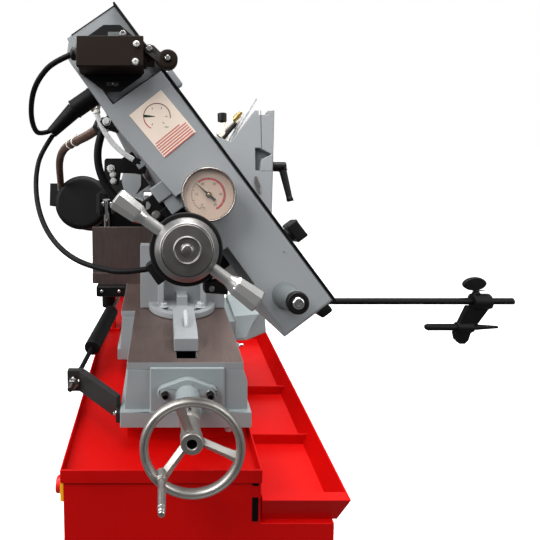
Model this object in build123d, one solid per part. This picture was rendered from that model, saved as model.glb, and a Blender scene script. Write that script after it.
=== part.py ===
from build123d import *
import os
from math import sin, cos, radians, pi, sqrt, tan, atan2, degrees

os.makedirs("parts", exist_ok=True)

# ---------------------------------------------------------------- driving dimensions (mm)
# Frame: origin on the floor at the centre of the foot bolt pattern,
# +X to the operator's right, +Y away from the operator, +Z up.
CAB_L, CAB_STEP, CAB_R = -215.0, 96.0, 213.0    # cabinet sides and the step between its two tops
CAB_F, CAB_B = -445.0, 480.0                    # cabinet front and back
CAB_BOTTOM, CAB_TOP, CAB_LOW = 40.0, 700.0, 630.0
SHEET = 2.5                                     # cabinet sheet
TABLE_Z = 853.0                                 # vise table top
BASE_Z = 741.0                                  # underside of the vise base
VISE_X = -16.5                                  # vise screw axis
SCREW_Z = 801.0
WHEEL_Y = -513.0                                # rim plane of the vise handwheel
JAW_Y = 80.0                                    # face of the fixed jaw
JAW_TOP = 1000.0
FOOT_X, FOOT_Y, FOOT_R = 240.0, 400.0, 6.5      # floor bolts

LEAN = 54.1                                     # lean of the band wheels' plane
RAISE = 11.0                                    # how far the bow is lifted at rest
PIVOT_Y, PIVOT_Z = 432.0, 1000.0
BOW_X, BOW_Y, BOW_Z = -22.8, -522.0, 1002.1     # idler station, bow lowered
WHEEL_R = 120.0                                 # band wheels
WHEEL_C = 60.0                                  # wheel centres, down the lean from the bow's middle
WHEEL_MID = 7.0                                 # wheels' mid plane
BAND_W, BAND_T, BAND_LEN = 20.0, 0.9, 2360.0
BAND_GAP = 0.35
DRIVE_Y = (BAND_LEN - 2 * pi * (WHEEL_R + BAND_GAP + BAND_T / 2)) / 2     # wheel spacing
FACE_Y = -165.0                                 # front face of the bow
BOX_R = 150.0                                   # rear of the front box
RB_F, RB_B = 676.0, 985.0                       # rear box
HALF = 193.0                                    # half length of the bow's face
TN, TP = -32.0, 30.0                            # bow thickness, below and above the wheel plane

N = {}


# ---------------------------------------------------------------- helpers
def bx(x0, x1, y0, y1, z0, z1):
    return Pos((x0 + x1) / 2, (y0 + y1) / 2, (z0 + z1) / 2) * Box(abs(x1 - x0), abs(y1 - y0), abs(z1 - z0))


def cx(x0, x1, y, z, r):
    return Pos((x0 + x1) / 2, y, z) * Rot(0, 90, 0) * Cylinder(r, abs(x1 - x0))


def cy(y0, y1, x, z, r):
    return Pos(x, (y0 + y1) / 2, z) * Rot(90, 0, 0) * Cylinder(r, abs(y1 - y0))


def cz(z0, z1, x, y, r):
    return Pos(x, y, (z0 + z1) / 2) * Cylinder(r, abs(z1 - z0))


def prism_y(pts, y0, y1):
    f = Plane((0, y1, 0), x_dir=(1, 0, 0), z_dir=(0, -1, 0)) * make_face(Polyline(*pts, close=True))
    return extrude(f, amount=y1 - y0, dir=(0, -1, 0))


def prism_x(pts, x0, x1):
    f = Plane((x0, 0, 0), x_dir=(0, 1, 0), z_dir=(1, 0, 0)) * make_face(Polyline(*pts, close=True))
    return extrude(f, amount=x1 - x0, dir=(1, 0, 0))


def prism_z(pts, z0, z1):
    f = Pos(0, 0, z0) * make_face(Polyline(*pts, close=True))
    return extrude(f, amount=z1 - z0, dir=(0, 0, 1))


def along(p, q, r):
    """A round bar from p to q."""
    p, q = Vector(*p), Vector(*q)
    d = q - p
    return Location(Plane(origin=p, z_dir=d)) * Pos(0, 0, d.length / 2) * Cylinder(r, d.length)


def cone(p, q, r0, r1):
    p, q = Vector(*p), Vector(*q)
    d = q - p
    return Location(Plane(origin=p, z_dir=d)) * Pos(0, 0, d.length / 2) * Cone(r0, r1, d.length)


def rnd(shape, r, pick):
    """Round the picked edges, one radius after the other until it holds."""
    for k in (1.0, 0.7, 0.45):
        try:
            e = pick(shape)
            if not len(e):
                return shape
            out = fillet(e, r * k)
            if out.is_valid:
                return out
        except Exception:
            pass
    return shape


def edges_along(axis, **lim):
    def pick(s):
        es = s.edges().filter_by(axis)
        out = []
        for e in es:
            c = e.center()
            ok = True
            for k, (a, b) in lim.items():
                v = getattr(c, k)
                if v < a or v > b:
                    ok = False
            if ok:
                out.append(e)
        return ShapeList(out)
    return pick


# bow axes: local x runs down the lean, y along the bow to the rear, z square to the wheels
L = radians(LEAN)
U = Vector(cos(L), 0, -sin(L))
NV = Vector(sin(L), 0, cos(L))
LOW = Location(Plane(origin=(BOW_X, BOW_Y, BOW_Z), x_dir=U, z_dir=NV))
LIFT = Pos(0, PIVOT_Y, PIVOT_Z) * Rot(-RAISE, 0, 0) * Pos(0, -PIVOT_Y, -PIVOT_Z)


def bow(s):
    """From bow coordinates to the rest pose."""
    return LIFT * LOW * s


# ================================================================= cabinet
shell = bx(CAB_L, CAB_STEP, CAB_F, CAB_B, CAB_BOTTOM, CAB_TOP) + bx(CAB_STEP, CAB_R, CAB_F, CAB_B, CAB_BOTTOM, CAB_LOW)
shell = rnd(shell, 6, edges_along(Axis.Z, x=(CAB_L - 1, CAB_L + 1)))
shell -= bx(CAB_L + SHEET, CAB_STEP - SHEET, CAB_F + SHEET, CAB_B - SHEET, CAB_BOTTOM + SHEET, CAB_TOP - SHEET)
shell -= bx(CAB_STEP - SHEET - 1, CAB_R - SHEET, CAB_F + SHEET, CAB_B - SHEET, CAB_BOTTOM + SHEET, CAB_LOW - SHEET)
shell -= bx(-140, 140, CAB_F - 5, CAB_F + 5, 130, 550)

feet = []
for sx in (-1, 1):
    for sy in (-1, 1):
        f = bx(sx * 150, sx * 264, sy * FOOT_Y - 45, sy * FOOT_Y + 45, 0, 10)
        f += bx(sx * 150, sx * 208, sy * FOOT_Y - 40, sy * FOOT_Y + 40, 10, CAB_BOTTOM)
        f -= cz(-5, 15, sx * FOOT_X, sy * FOOT_Y, FOOT_R)
        feet.append(f)
N["cabinet_feet"] = Compound(children=feet)

# door with two knuckles on pins carried by the shell
HX, HY = -154.0, CAB_F - 5.5
door = bx(-148, 150, CAB_F - 3.0, CAB_F - 0.5, 120, 560)
door += bx(-148, -144, CAB_F - 12, CAB_F - 3.0, 120, 560) + bx(146, 150, CAB_F - 12, CAB_F - 3.0, 120, 560)
door += bx(-148, 150, CAB_F - 12, CAB_F - 3.0, 120, 124) + bx(-148, 150, CAB_F - 12, CAB_F - 3.0, 556, 560)
for z in (200, 460):
    door += bx(HX, -146, HY - 1.5, HY + 1.5, z, z + 40)
    door += cz(z, z + 40, HX, HY, 5.0)
    door -= cz(z - 1, z + 41, HX, HY, 3.05)
door -= cy(CAB_F - 20, CAB_F + 5, 120, 340, 6.06)
N["cabinet_door"] = door
for z in (200, 460):
    shell += cz(z - 18, z + 58, HX, HY, 3.0) + cz(z - 18, z - 0.5, HX, HY, 5.0) + cz(z + 40.5, z + 58, HX, HY, 5.0)
    shell += bx(HX - 26, HX, CAB_F - 2.5, CAB_F, z - 18, z - 0.5) + bx(HX - 26, HX, CAB_F - 2.5, CAB_F, z + 40.5, z + 58)
shell -= cx(CAB_L - 1, CAB_L + SHEET + 1, -425, 681.5, 8.05)
N["cabinet_shell"] = shell
latch = cy(CAB_F - 3.2, CAB_F - 15.5, 120, 340, 11) + bx(116, 124, CAB_F - 30, CAB_F - 15, 322, 358)
latch += cy(CAB_F - 4, CAB_F + 8, 120, 340, 6.0) + bx(111, 129, CAB_F + 4, CAB_F + 7, 331, 380)
N["door_latch"] = latch

# coolant pan on the left top, with a raised pad under the vise
PL, PR, PF, PB = -219.0, 97.0, -449.0, 484.0
pan = bx(PL, PR, PF, PB, 700, 722)
pan -= bx(PL + 3, PR - 3, PF + 3, PB - 3, 703, 730)
pan += bx(-122, 82, -338, 116, 703, BASE_Z)
pan += bx(-200, -94, 394, 470, 703, 712)
N["coolant_pan"] = pan

# chip tray on the right top: flared front and outer side, two dividers
TZ0, TZ1 = 630.0, 672.0


def tray_block(dx, z0, z1):
    a = Pos(0, 0, z0) * make_face(Polyline((98 + dx, -436 + dx), (220 - dx, -436 + dx), (220 - dx, 246 - dx), (98 + dx, 246 - dx), close=True))
    b = Pos(0, 0, z1) * make_face(Polyline((98 + dx, -449 + dx), (237 - dx, -449 + dx), (237 - dx, 250 - dx), (98 + dx, 250 - dx), close=True))
    return loft([a, b])


tray = tray_block(0, TZ0, TZ1) - tray_block(2.5, TZ0 + 2.5, TZ1 + 0.01)
for y in (-247.0, -63.0):
    d = prism_y([(99, TZ0 + 1), (219, TZ0 + 1), (227.5, TZ1 - 20), (99, TZ1 - 20)], y - 1.25, y + 1.25)
    tray += d
N["chip_tray"] = tray

# emergency stop on the left side
ey = -428.0
N["estop_base"] = rnd(bx(-220.5, CAB_L, ey - 15, ey + 22, 664, 699), 3, edges_along(Axis.X)) - cx(-230, -214, ey + 3, 681.5, 13.4)
btn = cx(-222.5, -205, ey + 3, 681.5, 8.0) + cx(-229.5, -222, ey + 3, 681.5, 13.0)
N["estop_button"] = rnd(btn, 3, lambda s: s.edges().filter_by(GeomType.CIRCLE).sort_by(Axis.X)[0:1])

# ================================================================= vise
sec_f = [(-132, BASE_Z), (94, BASE_Z), (94, 768), (88, 768), (87, 820), (79, 841), (-119, 841), (-125, 768), (-132, 768)]
sec_b = [(-159, BASE_Z), (94, BASE_Z), (94, 768), (88, 768), (87, 820), (79, 841), (-148, 841), (-152, 768), (-159, 768)]
YT0, YT1, YT2 = -360.0, -117.0, 112.0
base = prism_y(sec_f, YT0, YT1 + 1) + prism_y(sec_b, YT1, YT2)
base += bx(-132, 94, YT0 - 8, YT0 + 1, BASE_Z, 768) + bx(-80, 47, YT0 - 6, YT0, 766, 846)
# chute beside the cut
ch_lo = Pos(0, 0, 804) * make_face(Polyline((96, -145), (122, -145), (172, -103), (172, 10), (96, 10), close=True))
ch_hi = Pos(0, 0, 848) * make_face(Polyline((96, -136), (150, -124), (168, -100), (168, 10), (96, 10), close=True))
base += loft([ch_lo, ch_hi], ruled=True) + prism_z([(80, -145), (122, -145), (172, -103), (172, 10), (80, 10)], 798, 804) + bx(80, 98, -140, 10, 800, 838)
S0, S1 = VISE_X - 18, VISE_X + 18
base -= bx(S0, S1, -344, 100, 766, 845)
base -= cy(-370, -340, VISE_X, SCREW_Z, 11.0)
N["vise_base"] = base
table = bx(-120, 80, YT0, YT1 + 0.5, 841, TABLE_Z) + bx(-150, 80, YT1, YT2, 841, TABLE_Z)
table -= bx(S0, S1, -344, 100, 838, 856)
N["vise_table"] = table

# two-bolt flange with the screw's bearing
fo = Circle(31) + Pos(-38, 5) * Circle(13) + Pos(38, 5) * Circle(13)
fl = Plane((VISE_X, YT0 - 6, SCREW_Z), x_dir=(1, 0, 0), z_dir=(0, -1, 0)) * make_hull(fo.edges())
fl = extrude(fl, amount=12, dir=(0, -1, 0))
fl += cy(YT0 - 62, YT0 - 17, VISE_X, SCREW_Z, 20.5)
fl -= cy(YT0 - 70, YT0, VISE_X, SCREW_Z, 10.05)
N["screw_flange"] = fl

screw = cy(-492, 36, VISE_X, SCREW_Z, 10.0)
N["vise_screw"] = screw

# handwheel: rim in front of the hub
HUB = Pos(VISE_X, WHEEL_Y, SCREW_Z) * Rot(90, 0, 0)
rim = HUB * revolve(Plane.XZ * Pos(68.5, 0) * RegularPolygon(6.5, 12, rotation=15), Axis.Z)
hw = cy(WHEEL_Y + 12, WHEEL_Y + 83, VISE_X, SCREW_Z, 16.8)
for a in (107, 227, 347):
    ca, sa = cos(radians(a)), sin(radians(a))
    hw += along((VISE_X + 11 * ca, WHEEL_Y + 22, SCREW_Z + 11 * sa), (VISE_X + 67 * ca, WHEEL_Y + 2, SCREW_Z + 67 * sa), 6.0)
hw = hw + rim
ga = radians(223.5)
GX, GZ = VISE_X + 60 * cos(ga), SCREW_Z + 60 * sin(ga)
hw += cy(WHEEL_Y - 11, WHEEL_Y + 6, GX, GZ, 8.0)
hw += cy(WHEEL_Y - 70, WHEEL_Y - 8, GX, GZ, 3.0) + cy(WHEEL_Y - 72.5, WHEEL_Y - 69.5, GX, GZ, 4.6)
hw -= cy(WHEEL_Y + 21, WHEEL_Y + 90, VISE_X, SCREW_Z, 10.0) + cy(WHEEL_Y + 5, WHEEL_Y + 22, VISE_X, SCREW_Z, 7.4)
N["handwheel"] = hw
prof = [(3.06, 0), (5.2, 0), (5.5, 2), (5.7, 50), (5.0, 56), (3.06, 57)]
grip = revolve(Plane.XZ * make_face(Polyline(*prof, close=True)), Axis.Z)
N["handwheel_grip"] = Pos(GX, WHEEL_Y - 11.5, GZ) * Rot(90, 0, 0) * grip

# slide: bar in the table slot with the screw's nut, carrier block on top, pivot pin for the jaw
sl = bx(S0 + 0.4, S1 - 0.4, -296, -64, 776, TABLE_Z - 0.4)
car = prism_x([(-318, TABLE_Z + 0.6), (-318, 877), (-294, 885.5), (-178, 885.5), (-178, TABLE_Z + 0.6)], VISE_X - 21.6, VISE_X + 21.6)
sl += bx(S0 + 0.4, S1 - 0.4, -296, -178, TABLE_Z - 1, TABLE_Z + 1) + car
JX, JPY, JFY = VISE_X, -99.0, -80.0              # jaw pivot and jaw face
sl += cz(815, 878.5, JX, JPY, 7.0)
sl -= cy(-400, -40, VISE_X, SCREW_Z, 10.4)
N["jaw_slide"] = sl

# swivelling jaw: half ring foot, plate, ribs and pivot post
JZ0 = TABLE_Z + 0.8
ring = cz(JZ0, JZ0 + 13, JX, JPY, 73) - bx(JX - 100, JX + 100, JFY, JFY + 100, JZ0 - 1, JZ0 + 20)
slot = (cz(JZ0 - 1, JZ0 + 20, JX, JPY, 58) - cz(JZ0 - 1, JZ0 + 20, JX, JPY, 47)) - bx(JX - 100, JX + 100, JPY - 14, JPY + 100, JZ0 - 5, JZ0 + 30)
jaw = ring - slot
jaw += bx(JX - 92, JX + 95, JFY - 22, JFY, JZ0, 996)
jaw -= bx(JX - 40, JX + 40, JFY - 23, JFY - 11, JZ0 + 13, 985)
jaw = rnd(jaw, 4, edges_along(Axis.Z, z=(900, 1000)))
jaw += bx(JX - 52, JX - 40, JFY - 51, JFY - 21, JZ0, 992) + bx(JX + 40, JX + 52, JFY - 51, JFY - 21, JZ0, 992)
jaw -= prism_x([(-145, 880), (-145, 1000), (JFY - 23, 1000)], JX - 53, JX + 53)
jaw += bx(JX - 12, JX + 12, JPY - 25, JFY - 10, JZ0, 888)
jaw -= cz(JZ0 - 1, 880, JX, JPY, 7.06)
N["movable_jaw"] = jaw

# fixed jaw casting, its ground plate, and the bar under the plate's overhang
fj = bx(-150, 78, JAW_Y + 7, JAW_Y + 18, TABLE_Z, 985)
for x in (-140, -78, -16, 50):
    fj += bx(x, x + 11, JAW_Y + 17, JAW_Y + 30, TABLE_Z, 940)
fj += bx(-150, 78, JAW_Y + 17, JAW_Y + 31, TABLE_Z, TABLE_Z + 14)
N["fixed_jaw"] = fj
jp = bx(-240, 78, JAW_Y, JAW_Y + 7, TABLE_Z, JAW_TOP) + bx(-240, 78, JAW_Y - 3, JAW_Y + 1, TABLE_Z, TABLE_Z + 27)
jp += rnd(bx(-222, -153, 58, 86, 824, 850), 3, edges_along(Axis.Y)) + bx(-222, -153, JAW_Y - 3, JAW_Y + 7, 848, TABLE_Z + 1)
N["jaw_plate"] = jp

# length stop: rod in the right side of the vise base, arm, sliding pin
RY, RZ = 40.0, 819.0
N["vise_base"] -= cx(60, 100, RY, RZ, 14.02)
N["stop_rod"] = cx(70, 822, RY, RZ, 8.0) + cx(70, 96, RY, RZ, 14)
AX, PZ, KX = 740.0, 752.0, 728.0                 # arm on the rod, pin height, clamp knob
arm = cx(AX - 22, AX + 22, RY, RZ, 19)
arm += prism_y([(AX - 35, RZ - 12), (AX + 22, RZ - 12), (AX - 24, 737), (AX - 28, 720), (AX - 37, 710.5), (AX - 51, 710.5), (AX - 61, 720), (AX - 65, 737)], RY - 7, RY + 7)
arm += cx(AX - 58, AX - 17, RY, PZ, 12.5)
arm += cz(RZ + 17, RZ + 24, KX, RY, 9)
arm -= cx(AX - 80, AX + 40, RY, RZ, 8.08) + cx(AX - 90, AX + 40, RY, PZ, 8.56) + cz(RZ + 7, RZ + 30, KX, RY, 4.06)
N["stop_arm"] = arm
pin = cx(611, 722, RY, PZ, 8.5) + cone((604, RY, PZ), (611.5, RY, PZ), 6.0, 8.5) + cone((721, RY, PZ), (787, RY, PZ), 8.0, 3.2)
N["stop_pin"] = pin
kn = cz(RZ + 8.3, RZ + 36, KX, RY, 4.0) + cz(RZ + 24.6, RZ + 29, KX, RY, 7.5)
oval = []
for k in range(28):
    t = 2 * pi * k / 28
    ox, oz = 28.5 * cos(t), 16.5 * sin(t)
    oval.append((KX - 6 + ox * cos(0.09) - oz * sin(0.09), RZ + 45 + ox * sin(0.09) + oz * cos(0.09)))
kn += prism_y(oval, RY - 5.5, RY + 5.5)
N["stop_knob"] = kn

# ================================================================= pivot stand
ps = bx(-196, -98, 396, 468, 712, 724)
ps += prism_x([(402, 724), (462, 724), (466, 968), (466, PIVOT_Z), (398, PIVOT_Z), (398, 968)], -190, -104)
ps += cx(-190, -104, PIVOT_Y, PIVOT_Z, 34)
ps -= bx(-174, -120, 380, 480, 948, 1050)
ps -= bx(-176, -118, 420, 444, 740, 900)
ps += cx(-196, -98, PIVOT_Y, PIVOT_Z, 15.0)
N["pivot_stand"] = ps

# ================================================================= bow
# front box: casting, open on the side of the cover
fb = bx(-HALF, HALF, FACE_Y, BOX_R, TN, TP)
fb = rnd(fb, 12, edges_along(Axis.Y, x=(-HALF - 1, -HALF + 1), z=(TN - 1, TN + 1)))
fb = rnd(fb, 9, edges_along(Axis.Y, x=(HALF - 1, HALF + 1), z=(TP - 1, TP + 1)))
fb = rnd(fb, 3.5, lambda s: s.faces().sort_by(Axis.Y)[0].edges())
lip = prism_x([(FACE_Y, -18), (FACE_Y, -46), (-150, -46), (-82, TN), (-82, -18)], -HALF, 14)
fb += lip & prism_y([(-HALF, -18), (-HALF, -27), (-174, -44), (-75, -44.8), (-10, -40), (14, -37.5), (14, -18)], FACE_Y, -80)
fb -= bx(-78, 187, -142, 141, -22, TP + 1)
fb -= bx(-183, -88, -124, 141, -22, TP + 1)
fb -= bx(-HALF - 1, -103, FACE_Y - 1, FACE_Y + 7, -33.5, TP + 1)
fb -= bx(158, HALF + 1, 64, BOX_R + 1, -19, TP + 1)
fb -= bx(-78, -42, 130, BOX_R + 1, -16, TP + 1)
fb -= bx(42, 78, -36, 36, TN - 1, -21)
fb -= bx(87, 133, FACE_Y - 1, FACE_Y + 22, TN - 1, -25)
# pocket for the cover latch, boss for the cable boot, two hose blocks
LKX, LKY = 120.0, -128.0
fb -= bx(LKX - 26, LKX + 16, -158, -141, 13, 19)
fb += cz(-41, TN + 2, -153, -60, 12.6)
fb += bx(-183, -171, 53, 67, -53, TN + 2) + bx(-65, -57, 55, 65, -46, TN + 2)
# fixed hinge knuckles and pins of the cover
GK = 2.2                                         # seal
CZ = TP + GK + 0.3
HGX, HGZ = -HALF - 7.0, CZ + 5.5
for y in (-20, 84):
    h = cy(y - 14, y + 50, HGX, HGZ, 2.5) + cy(y - 14, y - 0.6, HGX, HGZ, 5.0) + cy(y + 36.6, y + 50, HGX, HGZ, 5.0)
    for a, b in ((y - 14, y - 0.6), (y + 36.6, y + 50)):
        h += bx(HGX - 1.5, HGX + 1.5, a, b, 2, HGZ) + bx(HGX - 1.5, -HALF + 1, a, b, 2, 12)
    fb += h
N["front_box"] = bow(fb)

gask = (bx(-HALF - 1.0, HALF + 1.5, FACE_Y - 1.0, BOX_R, TP, TP + GK) - bx(-HALF + 8, HALF - 8, FACE_Y + 24, BOX_R - 8, TP - 1, TP + 4))
gask2 = (bx(-HALF - 1.0, HALF + 1.5, RB_F + 0.6, RB_B + 2, TP, TP + GK) - bx(-HALF + 8, HALF - 8, RB_F + 8, RB_B - 8, TP - 1, TP + 4))
N["cover_gaskets"] = Compound(children=[bow(gask), bow(gask2)])

# cover: sheet set back behind the face, knuckles on the upper edge, lug on the front edge
cov = rnd(bx(-HALF - 1.0, HALF + 1, FACE_Y + 18, BOX_R - 1, CZ, CZ + 2), 6, edges_along(Axis.Z))
cov += bx(-HALF + 30, HALF - 30, -100, BOX_R - 30, CZ + 1.5, CZ + 4) + bx(-103, -82, FACE_Y + 19, FACE_Y + 31, CZ + 1, CZ + 10)
for y in (-20, 84):
    cov += bx(HGX, -HALF + 20, y, y + 36, CZ + 1, CZ + 4) + cy(y, y + 36, HGX, HGZ, 5.0)
    cov -= cy(y - 1, y + 37, HGX, HGZ, 2.55)
cov -= cz(CZ - 1, CZ + 12, LKX, LKY, 5.06)
N["front_cover"] = bow(cov)
lk = cz(14, CZ + 4, LKX, LKY, 5.0) + cz(CZ + 2.6, CZ + 10, LKX, LKY, 8)
lk += rnd(bx(LKX - 11, LKX + 11, LKY - 12, LKY + 12, CZ + 9, CZ + 22), 3, edges_along(Axis.Z)) + bx(LKX - 24, LKX + 5, LKY - 5, LKY + 5, 14, 18)
N["cover_latch"] = bow(lk)

# beam: closed box with the channel of the return run beside it
bm = bx(-HALF, -95, BOX_R, RB_F, TN, TP)
bm = rnd(bm, 10, edges_along(Axis.Y, x=(-HALF - 1, -HALF + 1)))
bm -= bx(-HALF + 9, -104, BOX_R - 1, RB_F + 1, TN + 9, TP - 9)
bm += bx(-96, -42, BOX_R, RB_F, -19, -16) + bx(-45, -42, BOX_R, RB_F, -17, TP - 2)
bm += bx(-172, -112, 214, 594, TP, TP + 13)
N["beam"] = bow(bm)

# rear box with the pivot barrel, the spring lever and the fixed guide head, one casting
rb = bx(-HALF, HALF, RB_F, RB_B, TN, TP)
rb = rnd(rb, 12, edges_along(Axis.Y))
rb -= bx(-78, 187, RB_F + 2, RB_B - 9, -22, TP + 1)
rb -= bx(-183, -88, RB_F + 9, RB_B - 9, -22, TP + 1)
rb -= bx(158, HALF + 1, RB_F - 1, 745, -19, TP + 1)
rb -= bx(-78, -42, RB_F - 1, RB_F + 10, -16, TP + 1)
rb -= cz(TN - 1, -21, WHEEL_C, DRIVE_Y, 17.0)
rb = LOW * rb
HEAD_L, HEAD_R = 82.5, 118.0
RB0, RB1 = WHEEL_R + BAND_GAP, WHEEL_R + BAND_GAP + BAND_T
XB, BMID = WHEEL_C + (RB0 + RB1) / 2, WHEEL_MID - 2     # middle of the band
BX = BOW_X + cos(L) * XB + sin(L) * BMID                # cutting plane
cut_box = LOW * bx(-400, 400, 560, 1100, TN, 400)
brk = cx(-172, -122, PIVOT_Y, PIVOT_Z, 33) + bx(-172, -122, 412, 452, PIVOT_Z, 1076)
brk += bx(-172, -60, 412, 452, 1046, 1076)
brk -= cx(-200, -100, PIVOT_Y, PIVOT_Z, 15.06)
brk -= cut_box
rb += brk
gh = bx(HEAD_L, HEAD_R, 116, 154.5, 873, 932)
gh += bx(HEAD_L, BX - 0.9, 122, 150, 853.5, 874) + bx(BX + 0.9, 102, 122, 150, 853.5, 874)
rb += gh
N["rear_box"] = LIFT * rb

rc = rnd(bx(-HALF, HALF, RB_F + 1, RB_B + 1, TP + GK, CZ + 2), 6, edges_along(Axis.Z))
rc += bx(-HALF + 30, HALF - 30, RB_F + 30, RB_B - 30, CZ + 1.5, CZ + 4)
N["rear_cover"] = bow(rc)

# band wheels
def band_wheel(yc):
    w = cz(WHEEL_MID - 11, WHEEL_MID + 11, WHEEL_C, yc, WHEEL_R)
    w -= cz(WHEEL_MID + 3, WHEEL_MID + 12, WHEEL_C, yc, WHEEL_R - 13) - cz(WHEEL_MID, WHEEL_MID + 12, WHEEL_C, yc, 30)
    w -= cz(WHEEL_MID - 12, WHEEL_MID - 3, WHEEL_C, yc, WHEEL_R - 13) - cz(WHEEL_MID - 12, WHEEL_MID, WHEEL_C, yc, 30)
    w += cz(WHEEL_MID - 11.5, WHEEL_MID - 11, WHEEL_C, yc, WHEEL_R)
    for k in range(5):
        a = radians(72 * k + 18)
        w -= cz(WHEEL_MID - 12, WHEEL_MID + 12, WHEEL_C + 68 * cos(a), yc + 68 * sin(a), 21)
    return w


iw = band_wheel(0.0) - cz(-40, 40, WHEEL_C, 0, 12.06)
N["idler_wheel"] = bow(iw)
dw = band_wheel(DRIVE_Y) + cz(-60, 0, WHEEL_C, DRIVE_Y, 15.0)
N["drive_wheel"] = bow(dw)

# tension unit on the lower side of the front box
TX, TZ = WHEEL_C + 1.5, -61.0
rails = bx(18, 36, -112, 92, -60, TN) + bx(84, 102, -112, 92, -60, TN)
rails -= bx(29, 91, -113, 93, -51, -41)
rails += bx(16, 107, -138, -112, -60, TN) + cy(-138, -112, TX, TZ, 28.8)
rails += cy(-168, -137, TX, TZ, 24)
rails += bx(54, 76, -165, -130, -104, -84)          # band tension sensor
rails -= cy(-180, -100, TX, TZ, 9.06)
N["tension_rails"] = bow(rails)
carr = bx(36.4, 83.6, -58, 62, -76, TN - 0.6) + bx(29.5, 90.5, -58, 62, -50.5, -41.5)
carr = rnd(carr, 4, edges_along(Axis.Z))
carr -= cy(-70, 70, TX, TZ, 9.4)
carr += cz(-46, 22, WHEEL_C, 0, 12.0) + cz(-46, -6.5, WHEEL_C, 0, 15.0) + cz(18.8, 23, WHEEL_C, 0, 16.0)
N["tension_carriage"] = bow(carr)
scr = cy(-224, 50, TX, TZ, 9.0) + cy(-199, -169, TX, TZ, 22)
scr += cy(-216, -198, TX, TZ, 29.5) + cy(-232, -215, TX, TZ, 25.0) + cy(-236, -231, TX, TZ, 12.0)
N["tension_screw"] = bow(scr)
# two arms, square to the hub axis, pointing up-left and down-right in the view along the bow
aw = radians(36.0)                               # below the horizontal, toward the right
ex = (cos(L) * cos(aw) + sin(L) * sin(aw), sin(L) * cos(aw) - cos(L) * sin(aw))   # (local x, local z)
arms = []
for s in (1, -1):
    p = lambda r: (TX + s * r * ex[0], -207.0, TZ + s * r * ex[1])
    a_ = along(p(28.4), p(50), 5.8) + cone(p(48), p(57), 5.8, 9.2) + cone(p(57), p(81), 9.2, 10.8) + cone(p(81), p(82), 10.8, 10.0)
    a_ -= cy(-240, -180, TX, TZ, 29.5)
    arms.append(bow(a_))
N["tension_arms"] = Compound(children=arms)

# pressure gauge on the face
GX_, GZ_ = 32.4, -11.7
g = cy(FACE_Y - 24, FACE_Y, GX_, GZ_, 25.0) + cy(FACE_Y - 29, FACE_Y - 22, GX_, GZ_, 27.3)
g -= cy(FACE_Y - 30, FACE_Y - 23, GX_, GZ_, 24.4)
g += cy(FACE_Y - 24, FACE_Y - 22, GX_, GZ_, 24.8) + cy(FACE_Y - 27.0, FACE_Y - 22.5, GX_, GZ_, 1.5)
N["gauge_case"] = bow(g)
na = atan2(11.8, -13.1)                          # needle direction in the view, up-left
nx, nz = cos(na), sin(na)
nd = (cos(L) * nx - sin(L) * nz, sin(L) * nx + cos(L) * nz)
need = cy(FACE_Y - 26.2, FACE_Y - 24.8, GX_, GZ_, 3.0)
tipv = (GX_ + 16.2 * nd[0], GZ_ + 16.2 * nd[1])
pv = (-nd[1], nd[0])
f_ = [(GX_ - 8 * nd[0] + 1.2 * pv[0], GZ_ - 8 * nd[1] + 1.2 * pv[1]), (tipv[0] + 0.35 * pv[0], tipv[1] + 0.35 * pv[1]),
      (tipv[0] - 0.35 * pv[0], tipv[1] - 0.35 * pv[1]), (GX_ - 8 * nd[0] - 1.2 * pv[0], GZ_ - 8 * nd[1] - 1.2 * pv[1])]
need += prism_y(f_, FACE_Y - 26.0, FACE_Y - 25.0)
need -= cy(FACE_Y - 40, FACE_Y - 20, GX_, GZ_, 1.56)
N["gauge_needle"] = bow(need)

# limit switch on its plate; the switch is level while the bow leans
plate = prism_y([(-179, -20), (-179, 9), (-168, 22), (-122, 22), (-109, 10), (-109, -8), (-118, -20), (-168, -20)], FACE_Y - 3.5, FACE_Y)
plate += bx(-176, -168, FACE_Y, FACE_Y + 7, -8, 8) + bx(-118, -110, FACE_Y, FACE_Y + 7, -8, 8)
SWX, SWZ = -140.3, -7.3


def level(s):
    """Switch coordinates: x level to the right, z up in the view."""
    return bow(Pos(SWX, 0, SWZ) * Rot(0, -LEAN, 0) * s)


sy = FACE_Y - 3.5
sw = rnd(bx(-33.2, 33.2, sy - 31, sy, -15.5, 15.5), 2.5, edges_along(Axis.Y))
sw += cx(-40, -33, sy - 15, 2, 6.5) + bx(33, 45, sy - 20, sy - 3, -8, 10)
sw -= cy(sy - 45, sy - 8, 39, 4, 3.06)
N["limit_switch"] = level(sw) + bow(plate)
lv = cy(sy - 26, sy - 8.4, 39, 4, 3.0) + cy(sy - 24.5, sy - 20.4, 39, 4, 5.2)
lv += prism_y([(36, 8), (35, 3), (38, -1.5), (54, -14), (61, -13), (62, -6), (56, -4.5), (43, 8.5)], sy - 24.5, sy - 21.2)
lv += cy(sy - 37, sy - 22, 57.5, -9.4, 3.0)
N["switch_lever"] = level(lv)
rl = cy(sy - 35, sy - 24.9, 57.5, -9.4, 10.0) - cy(sy - 40, sy - 10, 57.5, -9.4, 3.06)
N["switch_roller"] = level(rl)

# pull handle on the face
hd = cy(FACE_Y - 12, FACE_Y, 160, -7, 13.5) + cy(FACE_Y - 44, FACE_Y - 11, 160, -7, 10.9)
cap = cy(FACE_Y - 50, FACE_Y - 43, 160, -7, 10.4) + cy(FACE_Y - 53, FACE_Y - 49, 160, -7, 6.0)
cap -= Pos(160, FACE_Y - 52, -7) * Rot(90, 0, 0) * extrude(RegularPolygon(3.2, 6), amount=6, both=True)
N["bow_handle"] = bow(hd + cap)

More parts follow.
